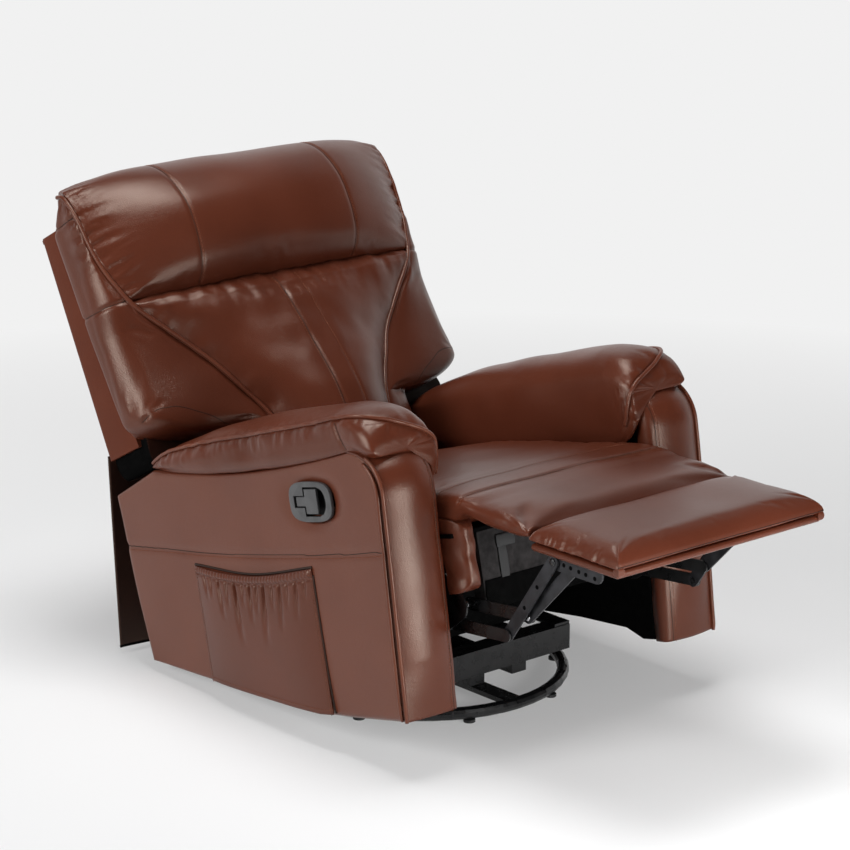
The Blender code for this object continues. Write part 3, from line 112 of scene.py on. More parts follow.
# %% [markdown]
# ## Leather
# The cover is a semi-gloss brown leather. Three things make it read as leather and not as plastic: a fine
# pebble grain in the bump, slow mottling of the colour, and a gloss that varies with the same patches. All of
# it is computed from the piece's own coordinates, so it needs no picture and no unwrapping.

# %% Finish helpers
def linear(colour):
    """An sRGB colour, 0 to 255, as linear light."""
    shares = np.array(colour) / 255
    light = np.where(shares <= 0.04045, shares / 12.92, ((shares + 0.055) / 1.055) ** 2.4)
    return (*light.tolist(), 1.0)


class Finish:
    """A material's node tree, with the few nodes that every finish here is built from."""

    def __init__(self, name, roughness, metallic=0.0):
        self.material = bpy.data.materials.new(name)
        self.material.use_nodes = True
        self.nodes = self.material.node_tree.nodes
        self.links = self.material.node_tree.links
        self.shader = self.nodes["Principled BSDF"]
        self.set(Roughness=roughness, Metallic=metallic)
        self.coords = self.nodes.new("ShaderNodeTexCoord").outputs["Object"]

    def set(self, **values):
        for name, value in values.items():
            self.shader.inputs[name.replace("_", " ")].default_value = value

    def feed(self, socket, value):
        """Give a socket a constant, or link another node's output to it."""
        if isinstance(value, bpy.types.NodeSocket):
            self.links.new(value, socket)
        else:
            socket.default_value = value

    def add(self, kind, output, inputs, **settings):
        """A new node with its inputs fed; one of its outputs comes back."""
        node = self.nodes.new(f"ShaderNode{kind}")
        for name, value in settings.items():
            setattr(node, name, value)
        for name, value in inputs.items():
            self.feed(node.inputs[name], value)
        return node.outputs[output]

    def stretched(self, scale):
        """The coordinates with each axis scaled, for brushed or grained surfaces."""
        return self.add("Mapping", "Vector", {"Vector": self.coords, "Scale": scale})

    def cloud(self, scale, detail=3.0, vector=None):
        inputs = {"Vector": vector or self.coords, "Scale": scale, "Detail": detail}
        return self.add("TexNoise", "Fac", inputs)

    def cells(self, scale):
        return self.add("TexVoronoi", "Distance", {"Vector": self.coords, "Scale": scale})

    def weave(self, scale, vector):
        return self.add("TexWave", "Fac", {"Vector": vector, "Scale": scale, "Distortion": 0.6})

    def ramp(self, value, stops):
        """A colour ramp from (place, sRGB colour) stops."""
        node = self.nodes.new("ShaderNodeValToRGB")
        ends = node.color_ramp.elements
        while len(ends) < len(stops):
            ends.new(0.5)
        for end, (place, colour) in zip(ends, stops):
            end.position = place
            end.color = linear(colour)
        self.feed(node.inputs["Fac"], value)
        return node.outputs["Color"]

    def span(self, value, low, high, start=0.35, end=0.65):
        """A value from low to high as the pattern goes from start to end."""
        ends = {"From Min": start, "From Max": end, "To Min": low, "To Max": high}
        return self.add("MapRange", "Result", {"Value": value, **ends})

    def maths(self, operation, first, second):
        """Two values multiplied or compared."""
        return self.add("Math", "Value", {0: first, 1: second}, operation=operation)

    def mixed(self, share, first, second, blend="MIX"):
        node = self.nodes.new("ShaderNodeMix")
        node.data_type = "RGBA"
        node.blend_type = blend
        ends = [socket for socket in node.inputs if socket.type == "RGBA"]
        for socket, value in zip((node.inputs["Factor"], *ends), (share, first, second)):
            self.feed(socket, value)
        return [socket for socket in node.outputs if socket.type == "RGBA"][0]

    def bump(self, height, distance, strength=1.0, under=None):
        inputs = {"Height": height, "Distance": distance, "Strength": strength}
        if under is not None:
            inputs["Normal"] = under
        return self.add("Bump", "Normal", inputs)

    def wear(self, socket_name, value):
        self.feed(self.shader.inputs[socket_name], value)


# %% Leather finishes
def leather(name, deep, mid, light, roughness, grain=1.0, shine=0.38):
    """Brown hide: mottled colour, pebble grain, and gloss that follows the mottling."""
    finish = Finish(name, roughness)
    finish.set(Specular_IOR_Level=shine, Specular_Tint=(1.0, 0.86, 0.74, 1.0))
    patches = finish.cloud(6.0, 5.0)
    hide = finish.ramp(patches, [(0.15, deep), (0.50, mid), (0.85, light)])
    pores = finish.cells(620.0)
    shade = finish.ramp(pores, [(0.10, (214, 210, 208)), (0.55, (255, 255, 255))])
    finish.wear("Base Color", finish.mixed(0.55, hide, shade, "MULTIPLY"))
    finish.wear("Roughness", finish.span(patches, roughness - 0.03, roughness + 0.03, 0.1, 0.9))
    creases = finish.bump(finish.cloud(75.0, 2.0), 0.0008, 0.22 * grain)
    pebbles = finish.bump(pores, 0.00050, 0.45 * grain, creases)
    finish.wear("Normal", pebbles)
    return finish.material


LEATHER = leather("brown_leather", (74, 34, 21), (81, 38, 24), (88, 42, 27), 0.30, shine=0.40)
SHELL_LEATHER = leather("brown_shell_leather", (80, 38, 24), (88, 43, 28), (95, 48, 32), 0.50, shine=0.08)
PANEL_LEATHER = leather("brown_panel_leather", (86, 42, 28), (92, 47, 32), (99, 52, 36), 0.34, shine=0.46)
WELT_LEATHER = leather("brown_welt_leather", (72, 35, 23), (90, 46, 32), (110, 62, 44), 0.30, 0.6)
# Nearly black brown for the cords in seam grooves and in the pocket's openings: painted shade.
SEAM_SHADE_LEATHER = leather("seam_shade_leather", (26, 12, 8), (34, 16, 11), (44, 22, 15), 0.60, 0.6)
# Brown leather darkened as painted shade, for the flap behind and the gap faces under the wings.
SHADE_DARKENED_LEATHER = leather("shade_darkened_flap_leather", (40, 21, 16), (50, 27, 20), (62, 34, 25), 0.46)
print("leathers:", [m.name for m in (LEATHER, PANEL_LEATHER, WELT_LEATHER, SHADE_DARKENED_LEATHER)])

# %% [markdown]
# ## Steel, plastic, cloth and wood
# The mechanism is black painted steel with grey plated links. Paint shows faint orange peel, and bare links
# show brushing along their length and dull smudges. The handle is a finely sparked satin plastic. Cloth is
# two crossed sets of threads in the bump.

# %% Other finishes
def steel(name, dark, light, roughness, metallic, brushing):
    finish = Finish(name, roughness, metallic)
    smudge = finish.cloud(38.0, 4.0)
    finish.wear("Base Color", finish.ramp(smudge, [(0.35, dark), (0.68, light)]))
    finish.wear("Roughness", finish.span(smudge, roughness - 0.08, roughness + 0.10))
    lines = finish.cloud(240.0, 2.0, finish.stretched(brushing))
    finish.wear("Normal", finish.bump(lines, 0.0002, 0.22))
    return finish.material


def plastic(name, dark, light, roughness):
    finish = Finish(name, roughness)
    spark = finish.cloud(900.0, 2.0)
    finish.wear("Base Color", finish.ramp(finish.cloud(24.0), [(0.35, dark), (0.70, light)]))
    finish.wear("Roughness", finish.span(spark, roughness - 0.04, roughness + 0.08))
    finish.wear("Normal", finish.bump(spark, 0.0003, 0.30))
    return finish.material


def cloth(name, dark, light, threads):
    finish = Finish(name, 0.92)
    finish.set(Specular_IOR_Level=0.02)
    warp = finish.weave(threads, finish.stretched((1.0, 0.0, 0.3)))
    weft = finish.weave(threads, finish.stretched((0.0, 0.4, 1.0)))
    crossed = finish.mixed(0.5, warp, weft)
    fuzz = finish.cloud(70.0, 4.0)
    finish.wear("Base Color", finish.ramp(fuzz, [(0.30, dark), (0.72, light)]))
    finish.wear("Normal", finish.bump(crossed, 0.0004, 0.5, finish.bump(fuzz, 0.0010, 0.4)))
    return finish.material


def plywood(name, dark, light):
    finish = Finish(name, 0.62)
    grain = finish.cloud(46.0, 5.0, finish.stretched((0.08, 1.0, 1.0)))
    finish.wear("Base Color", finish.ramp(grain, [(0.32, dark), (0.70, light)]))
    finish.wear("Normal", finish.bump(grain, 0.0006, 0.35))
    return finish.material


BLACK_STEEL = steel("black_painted_steel", (7, 7, 8), (13, 13, 14), 0.30, 0.0, (1.0, 1.0, 1.0))
GREY_STEEL = steel("grey_link_steel", (34, 34, 36), (52, 52, 55), 0.42, 0.55, (1.0, 0.10, 0.10))
BRIGHT_STEEL = steel("bright_bolt_steel", (150, 150, 152), (196, 196, 198), 0.26, 1.0, (1.0, 0.3, 0.3))
SPRING_STEEL = steel("spring_steel", (96, 96, 99), (140, 140, 144), 0.32, 1.0, (1.0, 1.0, 0.2))
GREY_PLASTIC = plastic("grey_handle_plastic", (58, 58, 59), (74, 74, 75), 0.42)
# Black plastic: the real glides and straps, and also painted shade inside the handle's cup.
BLACK_PLASTIC_AND_SHADE = plastic("black_glide_plastic", (9, 9, 10), (15, 15, 16), 0.55)
# Black cloth: the real lining and binding, and also painted shade under the seat, in wing gaps and in holes.
BLACK_LINING_AND_SHADE = cloth("black_lining", (5, 5, 5), (10, 10, 10), 420.0)
GREY_CLOTH = cloth("grey_front_cloth", (34, 33, 33), (50, 48, 48), 360.0)
WOOD = plywood("frame_plywood", (120, 88, 56), (168, 134, 94))
THREAD = cloth("brown_thread", (104, 62, 46), (140, 92, 72), 900.0)
print("finishes:", len(bpy.data.materials))

# %% [markdown]
# ## Camera, light and floor
# The camera stands where the photographer stood: a long lens, a little above the seat, off the sitter's right
# knee. Big soft boxes give the broad highlights that make leather look soft. The floor is a pale sweep that
# turns up far behind the chair.

# %% Camera
CAMERA_PLACE = Vector((-3.971, ROCK_AXIS[1] - 4.607, 2.232))
CAMERA_AZIMUTH = math.radians(-40.78)
CAMERA_ELEVATION = math.radians(15.63)
LENS_MM = 133.28

camera = bpy.data.objects.new("camera", bpy.data.cameras.new("camera"))
scene.collection.objects.link(camera)
camera.data.lens = LENS_MM
towards_camera = Vector((math.sin(CAMERA_AZIMUTH) * math.cos(CAMERA_ELEVATION),
                         -math.cos(CAMERA_AZIMUTH) * math.cos(CAMERA_ELEVATION),
                         math.sin(CAMERA_ELEVATION)))
camera.location = CAMERA_PLACE
camera.rotation_euler = (-towards_camera).to_track_quat("-Z", "Y").to_euler()
camera.data.clip_end = 60.0
scene.camera = camera
print("camera at", [round(v, 3) for v in camera.location])

# %% Lights
def soft_box(name, place, target, size, power):
    """A rectangular studio lamp that looks at a point."""
    lamp = bpy.data.lights.new(name, "AREA")
    lamp.shape = "RECTANGLE"
    lamp.size, lamp.size_y = size
    lamp.energy = power
    box = bpy.data.objects.new(name, lamp)
    scene.collection.objects.link(box)
    box.location = place
    box.rotation_euler = (Vector(target) - Vector(place)).to_track_quat("-Z", "Y").to_euler()


CHAIR_MIDDLE = (0.0, 0.0, 0.5)
soft_box("side_box", (-7.0, 0.9, 3.2), CHAIR_MIDDLE, (2.9, 3.4), 440)
soft_box("front_box", (-0.1, -2.05, 0.45), (0.0, -0.7, 0.45), (0.9, 0.5), 30)
soft_box("top_box", (-0.1, 0.2, 3.6), CHAIR_MIDDLE, (1.6, 1.6), 88)
print("three soft boxes")

# %% Sweep
SWEEP_REACH = 9.0
SWEEP_BEND = 5.0            # how far behind the chair it starts to turn up
SWEEP_RADIUS = 2.5
SWEEP_HEIGHT = 8.0
SWEEP_STEPS = 12
backward = -towards_camera.to_2d().normalized()
profile = [(-SWEEP_REACH, 0.0)]
for step in range(SWEEP_STEPS + 1):
    angle = math.pi / 2 * step / SWEEP_STEPS
    profile.append((SWEEP_BEND + SWEEP_RADIUS * math.sin(angle), SWEEP_RADIUS * (1 - math.cos(angle))))
profile.append((SWEEP_BEND + SWEEP_RADIUS, SWEEP_HEIGHT))
sweep_points = []
for along, height in profile:
    for across in (-2 * SWEEP_REACH, 2 * SWEEP_REACH):
        spot = backward * along + Vector((-backward.y, backward.x)) * across
        sweep_points.append((spot.x, spot.y, height))
sweep_mesh = bpy.data.meshes.new("studio_sweep")
sweep_faces = [(2 * i, 2 * i + 1, 2 * i + 3, 2 * i + 2) for i in range(len(profile) - 1)]
sweep_mesh.from_pydata(sweep_points, [], sweep_faces)
sweep_mesh.shade_smooth()
sweep = bpy.data.objects.new("studio_sweep", sweep_mesh)
scene.collection.objects.link(sweep)
print(sweep.name, len(sweep_faces), "faces")

# %% [markdown]
# The backdrop glows for the camera and in reflections only, so that it lights no dull surface. The glow is
# weak on the floor around the chair and ahead of it, where the chair's shadow has to show.

# %% Paper and world
GLOW_NEAR = 0.28            # share of the backdrop's glow on the floor beside the chair
GLOW_AWAY = (0.8, 3.2)      # distances from the chair over which the glow grows
GLOW_BEHIND = (-1.8, -0.9)  # the same along the view, from ahead of the chair
paper = Finish("pale_studio_paper", 0.85)
paper.set(Specular_IOR_Level=0.2)
paper.wear("Base Color", paper.ramp(paper.cloud(0.7), [(0.3, (232, 232, 233)), (0.7, (238, 238, 238))]))
away = paper.add("VectorMath", "Value", {0: paper.coords}, operation="LENGTH")
behind = paper.add("VectorMath", "Value", {0: paper.coords, 1: (*backward, 0.0)}, operation="DOT_PRODUCT")
far_share = paper.span(away, 0.0, 1.0, *GLOW_AWAY)
behind_share = paper.span(behind, 0.0, 1.0, *GLOW_BEHIND)
spread = paper.span(paper.maths("MULTIPLY", far_share, behind_share), GLOW_NEAR, 1.0, 0.0, 1.0)
rays = paper.nodes.new("ShaderNodeLightPath").outputs
mirrored = paper.maths("MAXIMUM", rays["Is Glossy Ray"], rays["Is Transmission Ray"])
seen = paper.maths("MAXIMUM", rays["Is Camera Ray"], mirrored)
glow = paper.add("Emission", "Emission", {"Color": linear((241, 241, 241))})
layers = {"Fac": paper.maths("MULTIPLY", seen, spread), 1: paper.shader.outputs["BSDF"], 2: glow}
paper.feed(paper.nodes["Material Output"].inputs["Surface"], paper.add("MixShader", 0, layers))
sweep_mesh.materials.append(paper.material)

world = bpy.data.worlds.new("studio_world")
world.use_nodes = True
scene.world = world
world.node_tree.nodes["Background"].inputs["Color"].default_value = (0.95, 0.97, 1.0, 1.0)
world.node_tree.nodes["Background"].inputs["Strength"].default_value = 0.05
scene.view_settings.view_transform = "Standard"
print("paper and world ready")

# %% [markdown]
# ## Sewing tools
# A cover starts as a grid of points laid over the stuffing. The grid becomes a closed mesh, so that it has an
# inside and an outside. Then the same few tools work on every cover: press a seam into it, gather leather
# along a seam, lay a welt or a row of stitches on it. Each tool takes a path in world coordinates and finds
# the surface by itself, which is simpler than keeping track of a seam's place in every grid.

# %% Curves
def smooth(points, count):
    """A soft curve through given points, with evenly shared steps between neighbours."""
    points = np.asarray(points, float)
    padded = np.vstack([2 * points[0] - points[1], points, 2 * points[-1] - points[-2]])
    places = np.linspace(0, len(points) - 1, count)
    start = np.minimum(places.astype(int), len(points) - 2)
    t = (places - start)[:, None]
    a, b, c, d = (padded[start + k] for k in range(4))
    square, cube = 2 * a - 5 * b + 4 * c - d, 3 * b - a - 3 * c + d
    return 0.5 * (2 * b + (c - a) * t + square * t ** 2 + cube * t ** 3)


def reach_along(path):
    """How far along a path each of its points is."""
    return np.concatenate([[0.0], np.cumsum(np.linalg.norm(np.diff(path, axis=0), axis=1))])


def resampled(path, count):
    """The same path in a given number of even steps."""
    path = np.asarray(path, float)
    reach = reach_along(path)
    places = np.linspace(0, reach[-1], count)
    return np.stack([np.interp(places, reach, path[:, k]) for k in range(path.shape[1])], axis=1)


def even_steps(path, step):
    """The same path with points a fixed distance apart."""
    return resampled(path, max(2, int(round(reach_along(path)[-1] / step)) + 1))


def calmed(line, passes):
    """Average each point with its neighbours, a few times over. The ends stay."""
    for _ in range(passes):
        line[1:-1] = 0.25 * line[:-2] + 0.5 * line[1:-1] + 0.25 * line[2:]
    return line


def crown(across, fullness=2.6):
    """Swell across a cushion: 1 in the middle, 0 at both edges, where across is -1 and 1."""
    return 1 - np.abs(across) ** fullness


# %% Meshes from grids
def as_piece(name, shape, finish):
    """Turn a bmesh into a shaded object whose faces look outwards."""
    bmesh.ops.recalc_face_normals(shape, faces=shape.faces)
    mesh = bpy.data.meshes.new(name)
    shape.to_mesh(mesh)
    shape.free()
    mesh.shade_smooth()
    mesh.materials.append(finish)
    piece = bpy.data.objects.new(name, mesh)
    scene.collection.objects.link(piece)
    return piece


def quads(shape, rows, close_columns):
    count = len(rows[0])
    for here, there in zip(rows, rows[1:]):
        for i in range(count if close_columns else count - 1):
            j = (i + 1) % count
            shape.faces.new((here[i], here[j], there[j], there[i]))


def capped(shape, rows):
    """Close a row of rings into a short solid with flat ends."""
    quads(shape, rows, True)
    shape.faces.new(rows[0])
    shape.faces.new(rows[-1])


def loft(name, sections, finish):
    """A closed cover over a row of closed sections, with a fan of faces at each end."""
    shape = bmesh.new()
    rows = [[shape.verts.new(point) for point in section] for section in sections]
    quads(shape, rows, True)
    for row in (rows[0], rows[-1]):
        middle = shape.verts.new(sum((v.co for v in row), Vector()) / len(row))
        for i in range(len(row)):
            shape.faces.new((row[i], row[(i + 1) % len(row)], middle))
    return as_piece(name, shape, finish)


def slab(name, front, back, finish):
    """A closed cover between two grids of the same size, joined round their rims."""
    shape = bmesh.new()
    made = [[[shape.verts.new(point) for point in row] for row in grid] for grid in (front, back)]
    for rows in made:
        quads(shape, rows, False)
    rims = []
    for rows in made:
        left = [row[0] for row in rows]
        right = [row[-1] for row in rows]
        rims.append(rows[0] + right[1:] + rows[-1][-2::-1] + left[-2:0:-1])
    quads(shape, rims, True)
    return as_piece(name, shape, finish)


def vectors_of(items, name):
    values = np.zeros(len(items) * 3, np.float32)
    items.foreach_get(name, values)
    return values.reshape(-1, 3).astype(float)


def points_of(piece):
    return vectors_of(piece.data.vertices, "co")


def normals_of(piece):
    return vectors_of(piece.data.vertex_normals, "vector")


def put_points(piece, points):
    piece.data.vertices.foreach_set("co", np.asarray(points, np.float32).ravel())
    piece.data.update()


def refine(piece, levels=1):
    """Apply a subdivision, which rounds the grid off."""
    modifier = piece.modifiers.new("refine", "SUBSURF")
    modifier.levels = modifier.render_levels = levels
    apply_modifiers(piece)


def apply_modifiers(piece):
    seen = piece.evaluated_get(bpy.context.evaluated_depsgraph_get())
    finished = bpy.data.meshes.new_from_object(seen)
    finished.name = piece.name
    piece.modifiers.clear()
    piece.data = finished


# %% Seams, gathers and soft dents
class Surface:
    """Finds the nearest place on a piece's surface."""

    def __init__(self, piece):
        polygons = [tuple(p.vertices) for p in piece.data.polygons]
        self.tree = BVHTree.FromPolygons([v.co for v in piece.data.vertices], polygons)

    def lay(self, path, lift=0.0):
        """The path moved onto the surface, with the surface's normal at each point."""
        spots, normals = [], []
        for point in path:
            spot, normal, _, _ = self.tree.find_nearest(Vector(point))
            spots.append(spot + normal * lift)
            normals.append(normal)
        return np.array(spots), np.array(normals)


def tree_of(points):
    """A search tree over points."""
    tree = KDTree(len(points))
    for i, point in enumerate(points):
        tree.insert(Vector(point), i)
    tree.balance()
    return tree


PATH_STEP = 0.003


def along_path(piece, path, reach):
    """The points of a piece near a path: index, distance, run along the path and nearest spot on it."""
    path = even_steps(path, PATH_STEP)
    tree = tree_of(path)
    found = []
    for index, vertex in enumerate(piece.data.vertices):
        _, nearest, distance = tree.find(vertex.co)
        if distance < reach:
            found.append((index, distance, nearest))
    index, distance, nearest = np.array(found, float).reshape(-1, 3).T
    nearest = nearest.astype(int)
    return index.astype(int), distance, nearest * PATH_STEP, path[nearest]


def crease(piece, path, depth, width):
    """Press a sewn line into a cover."""
    index, distance, _, _ = along_path(piece, path, 3 * width)
    points, normals = points_of(piece), normals_of(piece)
    points[index] -= normals[index] * (depth * np.exp(-(distance / width) ** 2))[:, None]
    put_points(piece, points)


SEAM_EDGE = 0.008           # a gather rises over this distance from its seam


def gather(piece, path, reach, pitch, depth, seed, towards=None, start=0.0):
    """Pucker the leather beside a seam: short folds square to it that fade out with distance."""
    index, distance, run, nearest = along_path(piece, path, reach)
    points, normals = points_of(piece), normals_of(piece)
    fade = np.clip(1 - distance / reach, 0, 1) ** 1.3 * np.clip(distance / SEAM_EDGE + start, 0, 1)
    if towards is not None:
        fade = fade * (((points[index] - nearest) @ np.asarray(towards, float)) > 0)
    folds = []
    for r, d in zip(run, distance):
        broad = noise.noise(Vector((r / pitch + 17.3 * seed, 0.9 * d / reach, seed)))
        fine = noise.noise(Vector((1.9 * r / pitch - 7.7 * seed, 1.6 * d / reach, seed + 5.0)))
        folds.append(broad + 0.45 * fine)
    points[index] += normals[index] * (depth * fade * np.array(folds))[:, None]
    put_points(piece, points)


def soften(piece, depth, size, seed, stretch=(1.0, 1.0, 1.0)):
    """Slow hollows and rises all over a cover, as stuffing gives."""
    points, normals = points_of(piece), normals_of(piece)
    scale = np.array(stretch) / size
    shift = Vector((seed, -seed, 2.0 * seed))
    heights = np.array([noise.noise(Vector(p * scale) + shift) for p in points])
    put_points(piece, points + normals * (depth * heights)[:, None])


# %% Stuffing
PUFF_FRAMES = 20
HOLD_REACH, HOLD_FADE = 0.016, 0.010    # a seam holds the cover beside it this far out


def puff(piece, paths, hidden, pressure=3.0, cap=0.007):
    """Let the stuffing push a cover out: a short cloth simulation, held at seams and on the hidden side."""
    before = points_of(piece)
    held = np.where(hidden(before), 1.0, 0.0)
    for path in paths:
        index, distance, _, _ = along_path(piece, path, HOLD_REACH)
        held[index] = np.maximum(held[index], np.clip(1.6 - distance / HOLD_FADE, 0, 1))
    group = piece.vertex_groups.new(name="sewn")
    for index in np.flatnonzero(held > 0):
        group.add([int(index)], float(held[index]), "REPLACE")
    stuffing = piece.modifiers.new("stuffing", "CLOTH")
    settings = stuffing.settings
    settings.quality = 3
    settings.use_pressure = True
    settings.uniform_pressure_force = pressure
    settings.vertex_group_mass = group.name
    settings.effector_weights.gravity = 0.0
    settings.bending_stiffness = 2.0
    stuffing.collision_settings.use_collision = False
    stuffing.point_cache.frame_start, stuffing.point_cache.frame_end = 1, PUFF_FRAMES
    for step in range(1, PUFF_FRAMES + 1):
        scene.frame_set(step)
    shaped = piece.evaluated_get(bpy.context.evaluated_depsgraph_get())
    moved = np.array([vertex.co[:] for vertex in shaped.data.vertices]) - before
    piece.modifiers.remove(stuffing)
    piece.vertex_groups.clear()
    scene.frame_set(1)
    reach = np.linalg.norm(moved, axis=1)
    share = cap * np.tanh(reach / cap) / np.maximum(reach, 1e-9)
    put_points(piece, before + moved * share[:, None])
    print("stuffed", piece.name, "by up to", round(1000 * float((reach * share).max()), 1), "mm")


# %% Welts and stitches
def tube(name, path, radius, finish, sides=8):
    """A round cord along a path, closed at both ends."""
    path = np.asarray(path, float)
    ahead = np.gradient(path, axis=0)
    ahead /= np.linalg.norm(ahead, axis=1)[:, None]
    side = Vector(ahead[0]).orthogonal().normalized()
    rings = []
    for point, direction in zip(path, ahead):
        side = (side - Vector(direction) * side.dot(Vector(direction))).normalized()
        lift = Vector(direction).cross(side)
        turns = [2 * math.pi * k / sides for k in range(sides)]
        rings.append([Vector(point) + radius * (side * math.cos(a) + lift * math.sin(a)) for a in turns])
    return loft(name, rings, finish)


def fasten(piece, body):
    """Attach a piece to the body that it moves with."""
    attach(piece, body)


def welt(name, piece, path, body, radius=0.0032, sink=0.3, finish=WELT_LEATHER):
    """Piping sewn along an edge of a cover, half sunk in it; in the seam-shade finish, a cord of painted
    shade.
    """
    line, _ = Surface(piece).lay(even_steps(path, 0.005), radius * (1 - 2 * sink))
    fasten(tube(name, calmed(line, 3), radius, finish), body)


SEAM_RADIUS, SEAM_SINK = 0.0009, 0.0003


def seam(name, piece, path, body, depth=0.0022, width=0.0045, thread=None):
    """A sewn joint of two panels: a groove, a cord of painted shade at its bottom, and stitches beside it."""
    crease(piece, path, depth, width)
    line, _ = Surface(piece).lay(even_steps(path, 0.004), -SEAM_SINK)
    fasten(tube(name, calmed(line, 2), SEAM_RADIUS, SEAM_SHADE_LEATHER, 6), body)
    if thread is not None:
        stitches(f"{name}_stitches", piece, np.asarray(path, float) + thread, body)


STITCH_LENGTH, STITCH_PITCH, STITCH_RADIUS = 0.0042, 0.0062, 0.00062
STITCH_PROFILE = ((-0.5, 0.35), (-0.25, 1.0), (0.25, 1.0), (0.5, 0.35))
STITCH_CORNERS = ((1, 0), (0, 1), (-1, 0), (0, -1))


def stitches(name, piece, path, body):
    """A row of thread on a cover: each stitch a short bowed grain that dips into the leather at its ends."""
    shape = bmesh.new()
    line, normals = Surface(piece).lay(even_steps(path, STITCH_PITCH))
    for here, there, up in zip(line, line[1:], normals):
        along = Vector(there) - Vector(here)
        if along.length < 0.5 * STITCH_PITCH:
            continue
        along.normalize()
        up = Vector(up)
        across = along.cross(up).normalized()
        rows = []
        for place, share in STITCH_PROFILE:
            lift, spread = STITCH_RADIUS * (2 * share - 1.2), STITCH_RADIUS * share
            centre = Vector(here) + along * (place * STITCH_LENGTH) + up * lift
            rows.append([shape.verts.new(centre + spread * (across * a + up * b)) for a, b in STITCH_CORNERS])
        capped(shape, rows)
    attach(as_piece(name, shape, THREAD), body)


# %% Sides and covers
SIDES = (("left", 1), ("right", -1))


def on_side(path, side):
    """A path drawn on the sitter's left, or its mirror image on the right."""
    return np.asarray(path, float) * (side, 1.0, 1.0)


def cover(piece, body, nodes):
    """Put a cover in place of its plain solids."""
    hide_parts(*nodes)
    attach(piece, body)


def drift(u, v, across, down, seed):
    """Slow random values over a grid."""
    values = [noise.noise(Vector((across * a, down * b, seed))) for a, b in zip(u.ravel(), v.ravel())]
    return np.array(values).reshape(u.shape)


def tell(piece):
    print(piece.name, len(piece.data.polygons), "faces")


print("sewing tools ready")

# %% [markdown]
# ## The back
# The back has three stuffed parts. A thick headrest roll lies across the top, a lumbar cushion narrows from
# the roll down to the seat, and a wing fills each side. One long welt on each side runs from the top corner
# down between the wing and the middle cushions, so it is drawn first and everything is sewn to it.

# %% The long welts
WELT_POINTS = [(0.115, 0.190, -0.020), (0.134, 0.180, 0.055), (0.155, 0.170, 0.130), (0.193, 0.157, 0.195),
               (0.229, 0.145, 0.253), (0.268, 0.138, 0.300), (0.303, 0.133, 0.338), (0.338, 0.129, 0.375),
               (0.366, 0.126, 0.410), (0.386, 0.115, 0.460), (0.400, 0.107, 0.509), (0.407, 0.100, 0.556),
               (0.410, 0.094, 0.602), (0.412, 0.083, 0.640), (0.412, 0.068, 0.663), (0.412, 0.046, 0.671)]
welt_curve = smooth(WELT_POINTS, 320)
SHELL_HALF = 0.400
SHELL_LOW_S, SHELL_TOP_S = 0.132, 0.617
SHELL_LOW_N, SHELL_TOP_N = 0.044, -0.009


def welt_half(s):
    return np.interp(s, welt_curve[:, 2], welt_curve[:, 0])


def welt_depth(s):
    return np.interp(s, welt_curve[:, 2], welt_curve[:, 1])


def shell_edge(s):
    """Front edge of the leather shell behind the cushions."""
    return np.interp(s, (SHELL_LOW_S, SHELL_TOP_S), (SHELL_LOW_N, SHELL_TOP_N))


# %% Headrest roll
ROLL_SEAM_X = 0.204
ROLL_AT_SEAM = [(0.095, 0.415), (0.138, 0.422), (0.158, 0.434), (0.171, 0.451), (0.182, 0.477),
                (0.189, 0.535), (0.183, 0.594), (0.153, 0.651), (0.119, 0.684), (0.086, 0.700),
                (0.045, 0.703), (0.004, 0.690), (-0.030, 0.661), (-0.054, 0.622)]
ROLL_AT_WELT = [(0.366, 0.095, 0.414), (0.368, 0.118, 0.419), (0.373, 0.124, 0.428), (0.380, 0.121, 0.444),
                (0.389, 0.114, 0.470), (0.400, 0.107, 0.510), (0.407, 0.100, 0.556), (0.410, 0.094, 0.604),
                (0.412, 0.084, 0.646), (0.412, 0.068, 0.672), (0.404, 0.044, 0.682), (0.390, 0.008, 0.678),
                (0.372, -0.028, 0.656), (0.356, -0.054, 0.622)]
ROLL_REAR_HALF = 0.356
ROLL_REAR = [(-0.056, 0.619), (-0.010, 0.619), (-0.004, 0.610), (0.012, 0.480), (0.020, 0.417),
             (0.060, 0.414)]
ROLL_ROWS, ROLL_FRONT = 121, 120
ROLL_FULLNESS = np.interp(np.linspace(0, 1, ROLL_FRONT), (0.0, 0.45, 0.7, 1.0), (3.0, 3.2, 5.0, 5.0))

at_welt = smooth(ROLL_AT_WELT, ROLL_FRONT)
at_seam = smooth(ROLL_AT_SEAM, ROLL_FRONT)
swell_at_seam = crown(ROLL_SEAM_X / at_welt[:, 0], ROLL_FULLNESS)[:, None]
at_middle = at_welt[:, 1:] + (at_seam - at_welt[:, 1:]) / swell_at_seam
roll_rear = even_steps(ROLL_REAR, 0.03)
sections = []
for across in np.linspace(-1, 1, ROLL_ROWS):
    across = math.sin(across * math.pi / 2 * 0.86) / math.sin(math.pi / 2 * 0.86)
    front = at_welt[:, 1:] + (at_middle - at_welt[:, 1:]) * crown(across, ROLL_FULLNESS)[:, None]
    x = np.concatenate([at_welt[:, 0] * across, np.full(len(roll_rear), ROLL_REAR_HALF * across)])
    outline = np.vstack([front, roll_rear])
    sections.append(upright(x, outline[:, 0], outline[:, 1]))
headrest = loft("headrest_roll", sections, LEATHER)
tell(headrest)

# %% Lumbar cushion
LUMBAR_LOW, LUMBAR_TOP = -0.020, 0.424
LUMBAR_SWELL = 0.088
LUMBAR_FULL = 0.30
LUMBAR_ROWS, LUMBAR_FRONT = 111, 88
LUMBAR_REAR_N = -0.040


